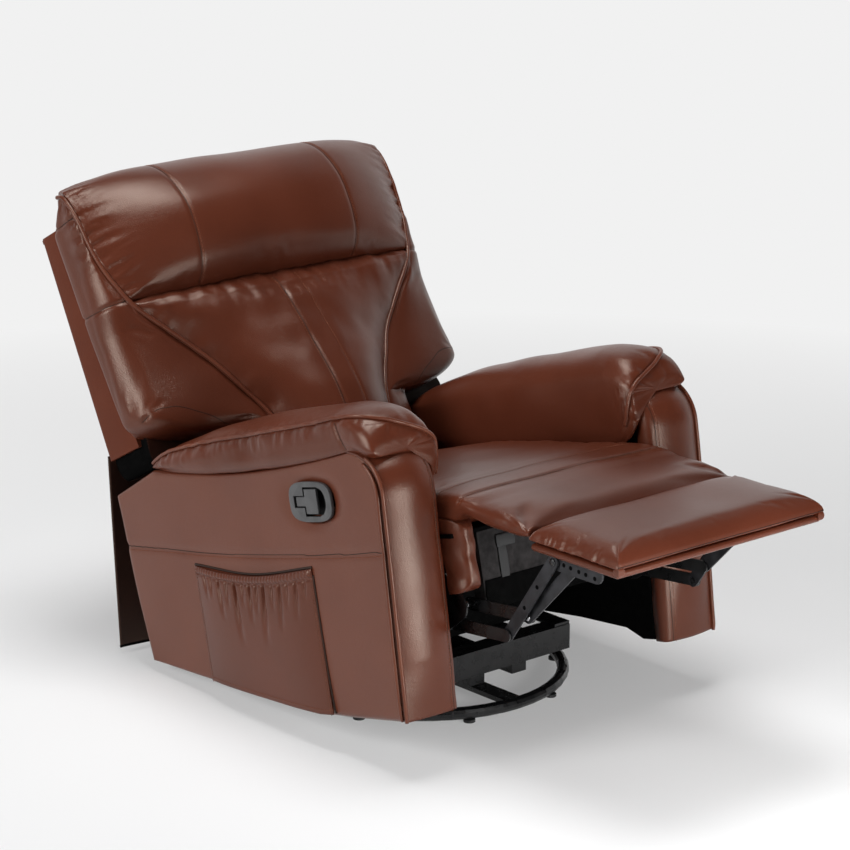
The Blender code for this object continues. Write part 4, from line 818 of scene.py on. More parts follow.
def lumbar_swell(s):
    """Crown of the cushion over its welts: fullest a hand above the seat, less under the roll."""
    share = (s - LUMBAR_LOW) / (LUMBAR_TOP - LUMBAR_LOW)
    body = 0.78 + 0.22 * np.cos(math.pi * (share - LUMBAR_FULL) / (1 - LUMBAR_FULL))
    return LUMBAR_SWELL * body * np.sqrt(np.clip((1.012 - share) / 0.085, 0.0, 1.0))


lumbar_s = LUMBAR_LOW + (LUMBAR_TOP - LUMBAR_LOW) * np.sin(np.linspace(0, math.pi / 2, LUMBAR_FRONT))
top_tuck = 0.022 * np.clip((lumbar_s - LUMBAR_TOP + 0.02) / 0.02, 0, 1) ** 2
sections = []
for across in np.linspace(-1, 1, LUMBAR_ROWS):
    front_n = welt_depth(lumbar_s) - top_tuck + lumbar_swell(lumbar_s) * crown(across)
    rear_s = np.linspace(LUMBAR_TOP, LUMBAR_LOW, 10)
    s = np.concatenate([lumbar_s, rear_s])
    n = np.concatenate([front_n, np.full(len(rear_s), LUMBAR_REAR_N)])
    sections.append(upright(across * welt_half(s), n, s))
lumbar = loft("lumbar_pillow", sections, LEATHER)
tell(lumbar)

# %% Wings
ARM_INNER_X = 0.275
WING_TUCK_X = 0.243         # outer edge down between the arm pads
WING_OUT_X, WING_TOP_X = 0.424, 0.417
WING_LOW_S, WING_ROUND, WING_TOP_S = 0.118, 0.066, 0.664
WING_BULGE, WING_FALL = 0.005, 0.024
WING_CORNER = 0.055
WING_SLOPE_S, WING_SLOPE = 0.598, 0.058     # the top of the wing slopes forward to the end of the welt
WING_ROWS, WING_FRONT = 134, 48


def wing_edge(s):
    """Outer edge of the wing: tucked between the arms, then rounding out wide above them."""
    if s > LUMBAR_TOP:
        return float(np.interp(s, (LUMBAR_TOP, WING_TOP_S), (WING_OUT_X, WING_TOP_X)))
    share = min(1.0, max(0.0, (s - WING_LOW_S) / WING_ROUND))
    return WING_TUCK_X + (WING_OUT_X - WING_TUCK_X) * math.sqrt(1 - (1 - share) ** 2)


def wing_section(s):
    """One level of the wing, from the welt over its front and outer side to the shell."""
    inner, outer = welt_half(s) + 0.0005, wing_edge(s)
    width = outer - inner
    front, back = welt_depth(s), shell_edge(max(s, SHELL_LOW_S)) + 0.0006
    back += float(np.interp(s, (WING_SLOPE_S, WING_TOP_S), (0.0, WING_SLOPE)))
    wide = min(1.0, width / 0.10)
    start = np.array([inner, front - 0.004])
    corner = np.array([outer, front - WING_FALL * wide])
    reach = np.linalg.norm(corner - start)
    turn_in = corner + (start - corner) / reach * min(WING_CORNER, 0.85 * reach)
    turn_out = corner - (0.0, min(WING_CORNER, 0.6 * (corner[1] - back)))
    control = []
    for u in (0.0, 0.15, 0.4, 0.7):
        control.append(start + (turn_in - start) * u + (0.0, WING_BULGE * wide * math.sin(math.pi * u)))
    for t in (0.0, 0.25, 0.5, 0.75, 1.0):
        control.append((1 - t) ** 2 * turn_in + 2 * t * (1 - t) * corner + t ** 2 * turn_out)
    control += [(outer + 0.001, 0.5 * (turn_out[1] + back)), (outer - 0.002, 0.2 * turn_out[1] + 0.8 * back),
                (min(outer, SHELL_HALF + 0.004), back)]
    path = smooth(control, WING_FRONT)
    edge = path[-1, 0]
    rear = [(0.75 * edge + 0.25 * inner, back), (0.4 * edge + 0.6 * inner, back), (inner, back)]
    rise = [(inner, back + (front - 0.003 - back) * k / 4) for k in (1, 2, 3)]
    return np.vstack([path, rear, rise])


wing_heights = np.concatenate([
    np.linspace(LUMBAR_LOW, WING_LOW_S, 20, endpoint=False),
    WING_LOW_S + WING_ROUND * (1 - np.cos(np.linspace(0.02, math.pi / 2, 24, endpoint=False))),
    np.linspace(WING_LOW_S + WING_ROUND, WING_TOP_S, WING_ROWS - 44)])
wings = {}
for label, side in SIDES:
    sections = []
    for s in wing_heights:
        outline = wing_section(s)
        sections.append(upright(side * outline[:, 0], outline[:, 1], s))
    wings[label] = loft(f"wing_{label}", sections, LEATHER)
    tell(wings[label])

# %% [markdown]
# ## Seams of the back
# Real covers are made of cut panels. Two seams split the roll in three, two run down the middle of the lumbar
# cushion, and short ones cross the wings. Each is pressed into the cover; on the roll and the lumbar cushion
# thread is laid beside it. The leather puckers where it is eased into the long welts, most at the ends of the
# roll.

# %% Sew the roll
back_middle = upright(0, 0, 0)
out_of_back = upright(0, 1, 0) - back_middle


def behind_depth(depth):
    """A test for the points of a cover that lie less than a depth ahead of the back's hinge."""
    return lambda points: (points - back_middle) @ out_of_back < depth


for label, side in SIDES:
    end = upright(*on_side(at_welt[12:-20], side).T)
    gather(headrest, end, reach=0.11, pitch=0.020, depth=0.0055, seed=3 + side, start=0.3)
    gather(headrest, end[28:], reach=0.095, pitch=0.012, depth=0.0060, seed=5 + side, start=0.3)
ends = [upright(*on_side(at_welt, side).T) for side in (-1, 1)]
puff(headrest, ends, behind_depth(0.075), cap=0.006)
low_edge = upright(np.linspace(-0.33, 0.33, 70), 0.18, 0.455)
gather(headrest, low_edge, reach=0.055, pitch=0.070, depth=0.0012, seed=7, start=1.0)
soften(headrest, depth=0.0028, size=0.13, seed=9)
refine(headrest)
for label, side in SIDES:
    line = upright(side * ROLL_SEAM_X, *at_seam[10:-8].T)
    seam(f"roll_seam_{label}", headrest, line, "back", thread=(0.005, 0.0, 0.0))
cover(headrest, "back", ["headrest"])
tell(headrest)

# %% Sew the lumbar cushion
LUMBAR_SEAM_X = 0.027
long_welts = {side: upright(*on_side(welt_curve, side).T) for side in (-1, 1)}
puff(lumbar, list(long_welts.values()), behind_depth(0.112))
soften(lumbar, depth=0.0030, size=0.14, seed=5)
top = upright(np.linspace(-0.34, 0.34, 60), 0.15, LUMBAR_TOP - 0.008)
gather(lumbar, top, reach=0.09, pitch=0.034, depth=0.0060, seed=21)
for label, side in SIDES:
    gather(lumbar, long_welts[side][40:200], reach=0.07, pitch=0.030, depth=0.0042, seed=11 + side)
soften(lumbar, depth=0.0022, size=0.055, seed=15)
refine(lumbar)
s = np.linspace(0.03, LUMBAR_TOP - 0.012, 60)
sewn, stitched = (upright(x, welt_depth(s) + lumbar_swell(s), s) for x in (-LUMBAR_SEAM_X, LUMBAR_SEAM_X))
seam("lumbar_seam", lumbar, sewn, "back", thread=(-0.005, 0.0, 0.0))
crease(lumbar, stitched, depth=0.0008, width=0.004)
stitches("lumbar_stitches", lumbar, stitched, "back")
cover(lumbar, "back", ["lumbar_cushion"])
tell(lumbar)

# %% Sew the wings
WING_SEAMS_S = (0.414, 0.612)
WING_FOOT_SEAM = [(0.425, 0.110, 0.166), (0.402, 0.120, 0.179), (0.354, 0.130, 0.181), (0.306, 0.135, 0.160),
                  (0.260, 0.140, 0.139), (0.215, 0.150, 0.116)]
LONG_WELT_R = 0.0046


def on_top(path, pieces, outwards, lift):
    """The path moved along one direction until it lies on the highest of several covers."""
    surfaces = [Surface(piece) for piece in pieces]
    reach = 0.05
    raised = []
    for point in path:
        start = Vector(point + reach * outwards)
        falls = [surface.tree.ray_cast(start, Vector(-outwards), 2 * reach)[3] for surface in surfaces]
        raised.append(reach - min([fall for fall in falls if fall is not None], default=reach))
    raised = calmed(np.clip(raised, -0.006, 0.012), 12)
    return path + (raised + lift)[:, None] * outwards


for label, side in SIDES:
    wing = wings[label]
    puff(wing, [long_welts[side]], behind_depth(0.055), cap=0.004)
    gather(wing, long_welts[side][205:], reach=0.060, pitch=0.017, depth=0.0085, seed=31 + side, start=0.4)
    soften(wing, depth=0.0020, size=0.12, seed=8 + side)
    refine(wing)
    for k, s in enumerate(WING_SEAMS_S):
        outline = wing_section(s)[1:WING_FRONT - 1]
        line = upright(side * outline[:, 0], outline[:, 1], s + 0.012 * np.linspace(1, 0, len(outline)) ** 2)
        seam(f"wing_seam_{label}_{k}", wing, line, "back", depth=0.0030)
    line = upright(*on_side(smooth(WING_FOOT_SEAM, 60), side).T)
    seam(f"wing_foot_seam_{label}", wing, line, "back", depth=0.0040, width=0.0060)
    cover(wing, "back", [f"back_wing_{label}"])
    path = upright(*on_side(welt_curve + (0.0015, 0.0, 0.0), side).T)
    raised = on_top(even_steps(path, 0.005), (wing, lumbar, headrest), out_of_back, 0.0015)
    fasten(tube(f"long_welt_{label}", raised, LONG_WELT_R, WELT_LEATHER), "back")
    tell(wing)

# %% [markdown]
# ## The arms
# Each arm is a box: a leather side panel, a crowned front facing that rolls over the nose, and a pillow pad
# on top. All three follow one side view of the arm, so that view is drawn first. The panel is a patch
# stretched between its four edges, because a patch bends with the edges and keeps an even grid.

# %% Side view of the arm
ARM_OUTER_X = 0.410
ARM_FOOT = (-0.345, 0.030)
ARM_BREAST = (-0.375, 0.461)
ARM_HEEL = (0.462, 0.114)
ARM_BACK = (0.501, 0.464)
ARM_SHOULDER_Y = 0.357
NOSE_RADIUS = 0.0835
NOSE_Y = ARM_BREAST[0] + NOSE_RADIUS
PAD_LOW = (0.150, 0.506)
PAD_RISE = (ARM_BREAST[1] + NOSE_RADIUS - PAD_LOW[1]) / (NOSE_Y - PAD_LOW[0]) ** 2
ARM_BOTTOM = [ARM_FOOT, (-0.180, 0.0295), (-0.100, 0.0315), (-0.021, 0.0420), (0.1355, 0.0652), ARM_HEEL]


def pad_line(y):
    """Height of the line that the arm pad sits on, round the nose as well."""
    y = np.asarray(y, float)
    nose = ARM_BREAST[1] + np.sqrt(np.clip(NOSE_RADIUS ** 2 - (y - NOSE_Y) ** 2, 0, None))
    return np.where(y < NOSE_Y, nose, PAD_LOW[1] + PAD_RISE * (y - PAD_LOW[0]) ** 2)


def arm_bottom(y):
    return np.interp(y, [p[0] for p in ARM_BOTTOM], [p[1] for p in ARM_BOTTOM])


nose_turn = np.linspace(math.pi, math.pi / 2, 24)
nose_round = NOSE_RADIUS * np.stack([np.cos(nose_turn), np.sin(nose_turn)], 1)
nose_arc = np.array((NOSE_Y, ARM_BREAST[1])) + nose_round
ARM_FRONT = np.vstack([ARM_FOOT, nose_arc])
top_y = np.linspace(NOSE_Y, ARM_SHOULDER_Y, 30)
ARM_TOP = np.vstack([np.stack([top_y, pad_line(top_y)], 1), ARM_BACK])


def patch(bottom, top, left, right, columns, rows):
    """A grid of points stretched between four edge curves."""
    bottom, top = (resampled(path, columns)[None] for path in (bottom, top))
    left, right = (resampled(path, rows)[:, None] for path in (left, right))
    u = np.linspace(0, 1, columns)[None, :, None]
    v = np.linspace(0, 1, rows)[:, None, None]
    ruled = (1 - v) * bottom + v * top + (1 - u) * left + u * right
    low = (1 - u) * bottom[:, :1] + u * bottom[:, -1:]
    high = (1 - u) * top[:, :1] + u * top[:, -1:]
    return ruled - (1 - v) * low - v * high


def rounded_off(distance, radius):
    """How far a rounded edge has dropped at a distance in from the edge."""
    inside = 1 - np.clip(distance / radius, 0, 1)
    return radius * (1 - np.sqrt(1 - inside ** 2))


# %% Side panels
PANEL_T = 0.022
PANEL_SPAN = (0.84, 0.46)   # length and height, to turn shares into distances
PANEL_BULGE = 0.004
PANEL_EDGE_R = 0.010
PANEL_COLUMNS, PANEL_ROWS = 120, 78
PANEL_SEAM = [(-0.366, 0.356), (-0.250, 0.350), (0.0, 0.345), (0.200, 0.347), (0.330, 0.353), (0.486, 0.3575)]
HANDLE = (-0.165, 0.4515)
BEZEL_HALF = (0.064, 0.039)
CUP_ROOM = 0.016

panel_grid = patch(ARM_BOTTOM, ARM_TOP, ARM_FRONT, [ARM_HEEL, ARM_BACK], PANEL_COLUMNS, PANEL_ROWS)
panel_u = np.linspace(0, 1, PANEL_COLUMNS)[None, :]
panel_v = np.linspace(0, 1, PANEL_ROWS)[:, None]
to_edge = np.minimum(np.minimum(panel_u, 1 - panel_u) * PANEL_SPAN[0],
                     np.minimum(panel_v, 1 - panel_v) * PANEL_SPAN[1])
panel_y, panel_z = panel_grid[..., 0], panel_grid[..., 1]
panel_swell = PANEL_BULGE * crown(2 * panel_u - 1, 4.0) * crown(2 * panel_v - 1, 4.0)
handle_reach = np.hypot((panel_y - HANDLE[0]) / BEZEL_HALF[0], (panel_z - HANDLE[1]) / BEZEL_HALF[1])
seam_line = smooth(PANEL_SEAM, 90)
panels = {}
for label, side in SIDES:
    x = ARM_OUTER_X + panel_swell - rounded_off(to_edge, PANEL_EDGE_R)
    if label == "right":
        near = np.clip(1.75 - handle_reach, 0, 0.75) / 0.75
        x = x - (panel_swell + 0.0035) * near ** 2
        x = np.where(handle_reach < 0.90, ARM_OUTER_X - CUP_ROOM, x)
    front = level(side * x, panel_y, panel_z)
    back = level(side * (ARM_OUTER_X - PANEL_T + 0.001), panel_y, panel_z)
    panels[label] = slab(f"side_panel_{label}", front, back, PANEL_LEATHER)
    soften(panels[label], depth=0.0022, size=0.16, seed=45 + side)
    line = level(side * (ARM_OUTER_X + PANEL_BULGE), seam_line[:, 0], seam_line[:, 1])
    seam(f"panel_seam_{label}", panels[label], line, "chair", depth=0.0035, width=0.0070,
         thread=(0.0, 0.0, -0.006))
    cover(panels[label], "chair", [f"arm_panel_{label}"])
    tell(panels[label])

# %% Front facings
FACING_SWELL = 0.020
FACING_DEPTH = 0.030
FACING_EDGE = 0.0025
FACING_COLUMNS, FACING_ROWS = 30, 110

facing_path = resampled(ARM_FRONT, FACING_ROWS)
facing_ahead = np.gradient(facing_path, axis=0)
facing_ahead /= np.linalg.norm(facing_ahead, axis=1)[:, None]
facing_out = np.stack([-facing_ahead[:, 1], facing_ahead[:, 0]], 1)
run = np.linspace(0, 1, FACING_ROWS)
facing_full = FACING_SWELL * np.minimum(1.0, 0.35 + 3.2 * run) * np.clip((1.0 - run) / 0.16, 0, 1) ** 0.8
facings = {}
for label, side in SIDES:
    across = np.sin(np.linspace(-1, 1, FACING_COLUMNS) * math.pi / 2 * 0.9) / math.sin(math.pi / 2 * 0.9)
    x = (ARM_INNER_X + ARM_OUTER_X) / 2 + (ARM_OUTER_X - ARM_INNER_X - 0.001) / 2 * across
    swell = facing_full[:, None] * crown(across, 2.0)[None, :]
    swell = swell - rounded_off((1 + across) * (ARM_OUTER_X - ARM_INNER_X) / 2, 0.014)[None, :]
    shallow = np.clip((x - ARM_OUTER_X + PANEL_T + 0.001) / 0.002, 0, 1)
    depth = FACING_DEPTH + (FACING_EDGE - FACING_DEPTH) * shallow[None, :]
    front = [level(side * x, p[0] + out[0] * s, p[1] + out[1] * s)
             for p, out, s in zip(facing_path, facing_out, swell)]
    back = [level(side * x, p[0] - out[0] * depth[0], p[1] - out[1] * depth[0])
            for p, out in zip(facing_path, facing_out)]
    facings[label] = slab(f"arm_front_{label}", front, back, LEATHER)
    soften(facings[label], depth=0.0016, size=0.07, seed=41 + side)
    cover(facings[label], "chair", [f"arm_facing_{label}"])
    inner_seam = facing_path[:-14] + facing_out[:-14] * 0.010
    line = level(side * (ARM_INNER_X + 0.016), *inner_seam.T)
    seam(f"arm_front_seam_{label}", facings[label], line, "chair", thread=(side * 0.006, 0.0, 0.0))
    for tag, carrier, edge_x, rise in (("outer", facings[label], ARM_OUTER_X - 0.001, 0.003),
                                       ("beside", panels[label], ARM_OUTER_X + 0.002, -0.0085)):
        path = facing_path[:-10] + facing_out[:-10] * rise
        line = level(side * edge_x, *path.T)
        welt(f"arm_front_welt_{tag}_{label}", carrier, line, "chair", radius=0.0038, sink=0.15)
    tell(facings[label])

# %% [markdown]
# ## Arm pads
# The pad is a pillow as long as the arm. Its top panel is sewn to a side panel along a welt that runs near
# the outer edge, crosses over the nose and drops inside the arm. The side section changes slowly along the
# arm, so the pad is lofted from many sections, each a soft curve through a few points.

# %% Pillow pads
PAD_DRAPE_Z = 0.434
PAD_INNER, PAD_OUTER = ARM_INNER_X - 0.026, ARM_OUTER_X + 0.006
PAD_FRONT_Y = -0.368
PAD_TOP = [(-0.368, 0.556), (-0.364, 0.572), (-0.355, 0.591), (-0.340, 0.606), (-0.315, 0.618),
           (-0.270, 0.626), (-0.221, 0.626), (-0.062, 0.614), (0.105, 0.598), (0.200, 0.583),
           (0.283, 0.564), (0.330, 0.546), (0.350, 0.535), (0.357, 0.529)]
PAD_SEAT = [(-0.368, 0.532), (-0.350, 0.530), (-0.320, 0.538), (NOSE_Y, 0.5445)]
PAD_END_IN = 0.014
PAD_SECTIONS, PAD_COLUMNS = 180, 60
PAD_OUTER_STEPS = ((0.015, 0.0), (0.001, 0.22), (0.0, 0.42), (0.010, 0.72), (0.040, 0.94))
PAD_INNER_STEPS = ((0.035, 0.90), (0.008, 0.55), (0.0, 0.10))
pad_top_line = smooth(PAD_TOP, 200)


def pad_section(y):
    """Section of the pad at one place along the arm: x outwards and z up."""
    nose = math.sqrt(1 - (1 - min(1.0, (y - PAD_FRONT_Y) / 0.045)) ** 2)
    tail = math.sqrt(1 - (1 - min(1.0, (ARM_SHOULDER_Y - y) / 0.080)) ** 2)
    end_in = PAD_END_IN * (2 - nose - tail)
    seat = float(pad_line(y)) if y > NOSE_Y else float(np.interp(y, *zip(*PAD_SEAT)))
    lift = float(np.interp(y, pad_top_line[:, 0], pad_top_line[:, 1])) - seat
    outer, inner = PAD_OUTER - end_in, PAD_INNER + end_in
    low = PAD_DRAPE_Z + 1.6 * end_in + 0.036 * math.exp(-((y - PAD_FRONT_Y) / 0.028) ** 2)
    free = [(outer - step, seat + share * lift) for step, share in PAD_OUTER_STEPS]
    free.append(((outer + inner) / 2, seat + lift))
    free += [(inner + step, seat + share * lift) for step, share in PAD_INNER_STEPS]
    free += [(inner + 0.001, low + 0.3 * (seat - low)), (inner + 0.010, low)]
    back = [(ARM_INNER_X - 0.0009, low + 0.004), (ARM_INNER_X - 0.0009, seat + 0.0006)]
    return np.vstack([smooth(free, PAD_COLUMNS), back])


pad_steps = np.linspace(0, 1, PAD_SECTIONS)
pad_steps = pad_steps - np.sin(4 * math.pi * pad_steps) / (4 * math.pi) * 0.6
pads = {}
for label, side in SIDES:
    sections = []
    for y in PAD_FRONT_Y + (ARM_SHOULDER_Y - PAD_FRONT_Y) * pad_steps:
        outline = pad_section(float(y))
        sections.append(level(side * outline[:, 0], float(y), outline[:, 1]))
    pads[label] = loft(f"arm_pillow_{label}", sections, LEATHER)
    tell(pads[label])

# %% Sew the pads
PAD_WELT = [(0.402, 0.350, 0.525), (0.408, 0.286, 0.552), (0.409, 0.178, 0.570), (0.409, -0.024, 0.586),
            (0.408, -0.200, 0.604), (0.404, -0.262, 0.609), (0.394, -0.306, 0.605), (0.375, -0.336, 0.597),
            (0.340, -0.350, 0.5835), (0.306, -0.356, 0.570), (0.282, -0.360, 0.561), (0.263, -0.361, 0.545),
            (0.252, -0.357, 0.517), (0.250, -0.350, 0.494), (0.253, -0.342, 0.476)]
PAD_GATHERS = [     # part of the welt, reach, pitch, depth, seed and side of the welt
    (slice(0, 95), 0.040, 0.016, 0.0050, 51, (0, 0, -1)),
    (slice(0, 95), 0.030, 0.024, 0.0026, 59, (0, 0, 1)),
    (slice(85, None), 0.060, 0.017, 0.0050, 53, (0, 0, 1)),
    (slice(85, None), 0.055, 0.021, 0.0070, 57, (0, 0, -1))]
pad_welt = smooth(PAD_WELT, 160)
for label, side in SIDES:
    pad = pads[label]
    path = level(*on_side(pad_welt, side).T)
    puff(pad, [path], lambda p: np.abs(p[:, 0]) < PAD_INNER + 0.004, cap=0.006)
    for part, reach, pitch, depth, seed, towards in PAD_GATHERS:
        gather(pad, path[part], reach, pitch, depth, seed + side, towards=towards, start=0.3)
    soften(pad, depth=0.0030, size=0.10, seed=55 + side)
    refine(pad)
    short = level(side * PAD_OUTER, np.linspace(-0.266, -0.290, 20), np.linspace(0.604, 0.546, 20))
    seam(f"arm_pad_seam_{label}", pad, short, "chair", depth=0.0030, width=0.0060)
    cover(pad, "chair", [f"arm_pad_{label}"])
    welt(f"arm_pad_welt_{label}", pad, path, "chair", radius=0.0040, sink=0.15)
    tell(pad)

# %% [markdown]
# ## Pocket
# The pouch on the sitter's right is one piece of leather, gathered on an elastic along its top. Its pleats
# are deepest at the elastic and die out further down. Each pleat is given by where it starts, how it leans,
# how long it runs and how deep it is.

# %% Gathered pocket
POCKET_Y = (-0.135, 0.246)
POCKET_TOP, POCKET_SAG, POCKET_HEM = 0.322, 0.017, 0.006
POCKET_BULGE = 0.013
POCKET_PLEAT = 0.0085
POCKET_COLUMNS, POCKET_ROWS = 180, 90
ELASTIC = 0.935
PLEATS = [(0.06, 0.10, 0.16, 0.6), (0.13, 0.05, 0.30, 0.8), (0.20, 0.04, 0.20, 0.6), (0.26, 0.03, 0.38, 0.9),
          (0.33, -0.02, 0.22, 0.7), (0.40, 0.03, 0.50, 1.2), (0.46, 0.01, 0.26, 0.8),
          (0.52, -0.02, 0.34, 1.0), (0.58, -0.03, 0.20, 0.6), (0.65, -0.06, 0.54, 1.2),
          (0.72, -0.05, 0.24, 0.7), (0.79, -0.08, 0.36, 0.9), (0.86, -0.06, 0.20, 0.6),
          (0.92, -0.12, 0.22, 0.6)]

u, v = np.meshgrid(np.linspace(0, 1, POCKET_COLUMNS), np.linspace(0, 1, POCKET_ROWS))
pocket_y = POCKET_Y[0] + (POCKET_Y[1] - POCKET_Y[0]) * u
pocket_low = arm_bottom(pocket_y) + POCKET_HEM
pocket_z = pocket_low + (POCKET_TOP - POCKET_SAG * np.sin(math.pi * u) - pocket_low) * v
fullness = crown(2 * u - 1, 4.0) * (0.35 + 0.65 * np.sin(math.pi * np.minimum(1.0, 0.10 + 0.78 * v)))
wander = drift(u, v, 6.0, 1.3, 4.0)
down = np.clip(ELASTIC - v, 0, 1)
relief = np.zeros_like(u)
for place, lean, long, deep in PLEATS:
    wide = 0.009 + 0.030 * down
    folded = np.exp(-((u - place - lean * down + 0.02 * wander * down) / wide) ** 2)
    relief -= deep * POCKET_PLEAT * folded * np.clip(1 - down / long, 0, 1) ** 1.2
relief *= np.clip(down / 0.025, 0, 1)
ruffle = np.sin(2 * math.pi * 40 * (u + 0.02 * wander))
in_hem = np.clip((v - ELASTIC) / 0.012, 0, 1)
relief += in_hem * (0.0030 * crown(np.clip((v - 0.966) / 0.034, -1, 1), 2.0) + 0.0005 * ruffle)
relief -= 0.0030 * np.exp(-((v - ELASTIC) / 0.010) ** 2)
edges = np.clip(np.minimum(u, 1 - u) / 0.02, 0, 1)
pocket_x = ARM_OUTER_X + PANEL_BULGE + 0.003 + (POCKET_BULGE * fullness + relief) * edges
front = level(-pocket_x, pocket_y, pocket_z)
back = level(-np.maximum(pocket_x - 0.003, ARM_OUTER_X + 0.0005), pocket_y, pocket_z)
pocket = slab("gathered_pocket", front, back, LEATHER)
cover(pocket, "chair", ["side_pocket"])
for k, place in enumerate((2, POCKET_COLUMNS - 3)):
    stitches(f"pocket_edge_stitches_{k}", pocket, front[:, place] - (0.001, 0.0, 0.0), "chair")
stitches("pocket_hem_stitches", pocket, front[3] - (0.001, 0.0, 0.0), "chair")
# The mouth and the slit at the free edge get dark cords: painted shade of the opening and of the gap under
# the edge.
mouth = smooth([(POCKET_Y[0], POCKET_TOP), (0.5 * sum(POCKET_Y), POCKET_TOP - POCKET_SAG),
                (POCKET_Y[1], POCKET_TOP)], 60)
mouth_line = level(-ARM_OUTER_X - PANEL_BULGE, mouth[:, 0], mouth[:, 1] + 0.002)
slit_line = front[:-4, 0] + (0.004, -0.001, 0.0)
for name, line, radius, sink in (("mouth", mouth_line, 0.0028, 0.55), ("slit", slit_line, 0.0022, 0.4)):
    welt(f"pocket_{name}", panels["right"], line, "chair", radius=radius, sink=sink, finish=SEAM_SHADE_LEATHER)
tell(pocket)

# %% [markdown]
# ## Seat, chaise and footrest
# The seat, the soft bridge ahead of it and the footrest are three pads that read as one surface. All three
# are pillows with rounded rims. The footrest is a top and a bottom grid that meet part of the way up the
# sides. The seat and the bridge are one cover, drawn the same way along a bent line.

# %% Rounded pads
def stepped_in(count, edge):
    """Steps from -1 to 1 that crowd towards both ends."""
    even = np.linspace(-1, 1, count)
    return np.sin(even * math.pi / 2 * edge) / math.sin(math.pi / 2 * edge)


def pillow(name, low, high, swell, place, finish, counts, radius, meet=0.5, fullness=3.0):
    """A pad between two corners, crowned on top. Its top meets its bottom at a share of its height."""
    low, high = np.array(low), np.array(high)
    middle, half = (low + high) / 2, (high - low) / 2
    b, a = np.meshgrid(stepped_in(counts[1], 0.97), stepped_in(counts[0], 0.97), indexing="ij")
    x, y = middle[0] + half[0] * a, middle[1] + half[1] * b
    to_rim = np.minimum((1 - np.abs(a)) * half[0], (1 - np.abs(b)) * half[1])
    drop = rounded_off(to_rim, radius) / radius
    rim = low[2] + meet * (high[2] - low[2])
    top = high[2] + swell * crown(a, fullness) * crown(b, fullness)
    top = top - drop * (top - rim)
    bottom = low[2] + 0.98 * drop * (rim - low[2])
    return slab(name, place(x, y, top), place(x, y, bottom), finish)


# %% Seat and chaise in one cover
SEAT_HALF = 0.2715
SEAT_TOP = [(0.225, 0.405), (0.200, 0.430), (0.120, 0.440), (0.0, 0.444), (-0.200, 0.442), (-0.330, 0.438),
            (-0.400, 0.433), (-0.4256, 0.4290)]
SEAT_UNDER = [(0.225, 0.380), (0.200, 0.364), (0.120, 0.3626), (0.0, 0.3626), (-0.200, 0.3626),
              (-0.330, 0.3640), (-0.385, 0.378), (-0.4256, 0.395)]
CHAISE_TOP_Z = (0.521, 0.521, 0.521, 0.520, 0.517, 0.507)
CHAISE_UNDER_LIFT = (0.003, 0.0, 0.0, 0.0, 0.002, 0.010)
CHAISE_HALF = 0.270
chaise_low = np.array(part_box("chaise_pad")[0])
chaise_hinge = np.array(joints["chaise_fold"]["pos_m"])
seat_top = level(0.0, *np.array(SEAT_TOP).T)
seat_under = level(0.0, *np.array(SEAT_UNDER).T)
bridge_y = np.linspace(chaise_hinge[1] - 0.030, chaise_low[1] + 0.001, 6)
chaise_top = in_world(0.0, bridge_y, CHAISE_TOP_Z)
chaise_under = in_world(0.0, bridge_y, chaise_low[2] + np.array(CHAISE_UNDER_LIFT))
COVER_ROWS, COVER_COLUMNS = 170, 112
top_path = resampled(smooth(np.vstack([seat_top, chaise_top]), 300), COVER_ROWS)
under_path = resampled(smooth(np.vstack([seat_under, chaise_under]), 300), COVER_ROWS)
across = stepped_in(COVER_COLUMNS, 0.97)
half_thick = np.linalg.norm(top_path - under_path, axis=1) / 2
rim_r = np.minimum(0.022, 0.9 * half_thick)
drop = np.array([rounded_off((1 - np.abs(across)) * SEAT_HALF, r) / r for r in rim_r])
seat_crown = 0.010 * np.clip(half_thick / 0.035, 0.2, 1.0)[:, None] * crown(across, 3.0)[None, :]
half_width = np.interp(top_path[:, 1], (chaise_low[1], chaise_hinge[1], chaise_hinge[1] + 0.10),
                       (CHAISE_HALF, CHAISE_HALF, SEAT_HALF))
middle = (top_path + under_path) / 2
front_grid, back_grid = [], []
for k in range(COVER_ROWS):
    share = drop[k][:, None]
    top = top_path[k] + (middle[k] - top_path[k]) * share
    top[:, 2] += seat_crown[k]
    under = under_path[k] + (middle[k] - under_path[k]) * share * 0.98
    top[:, 0] = under[:, 0] = across * half_width[k]
    front_grid.append(top)
    back_grid.append(under)
seat = slab("seat_and_chaise_cover", front_grid, back_grid, LEATHER)
tell(seat)

# %% Footrest pad
pad_low, pad_high = (np.array(corner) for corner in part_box("footrest_pad"))
FOOT_SWELL = 0.009
foot_pad = pillow("footrest_pillow", pad_low - (0.003, 0.004, 0), pad_high + (0.003, 0.002, -FOOT_SWELL),
                  FOOT_SWELL + 0.003, in_world, LEATHER, (130, 76), radius=0.026, meet=0.34, fullness=6.0)
tell(foot_pad)

# %% Sew the seat and footrest
def cover_line(row):
    """A line across the seat cover, on its top."""
    return np.array(front_grid[row])[4:-4]


def nearest_row(y):
    return int(np.argmin(np.abs(top_path[:, 1] - y)))


band_rows = [nearest_row(level(0, y, z)[1]) for y, z in ((-0.345, 0.438), (-0.4200, 0.429))]
under_tree = tree_of(np.array(back_grid).reshape(-1, 3))


def on_underside(points):
    return np.array([under_tree.find(Vector(point))[2] < 0.0005 for point in points])


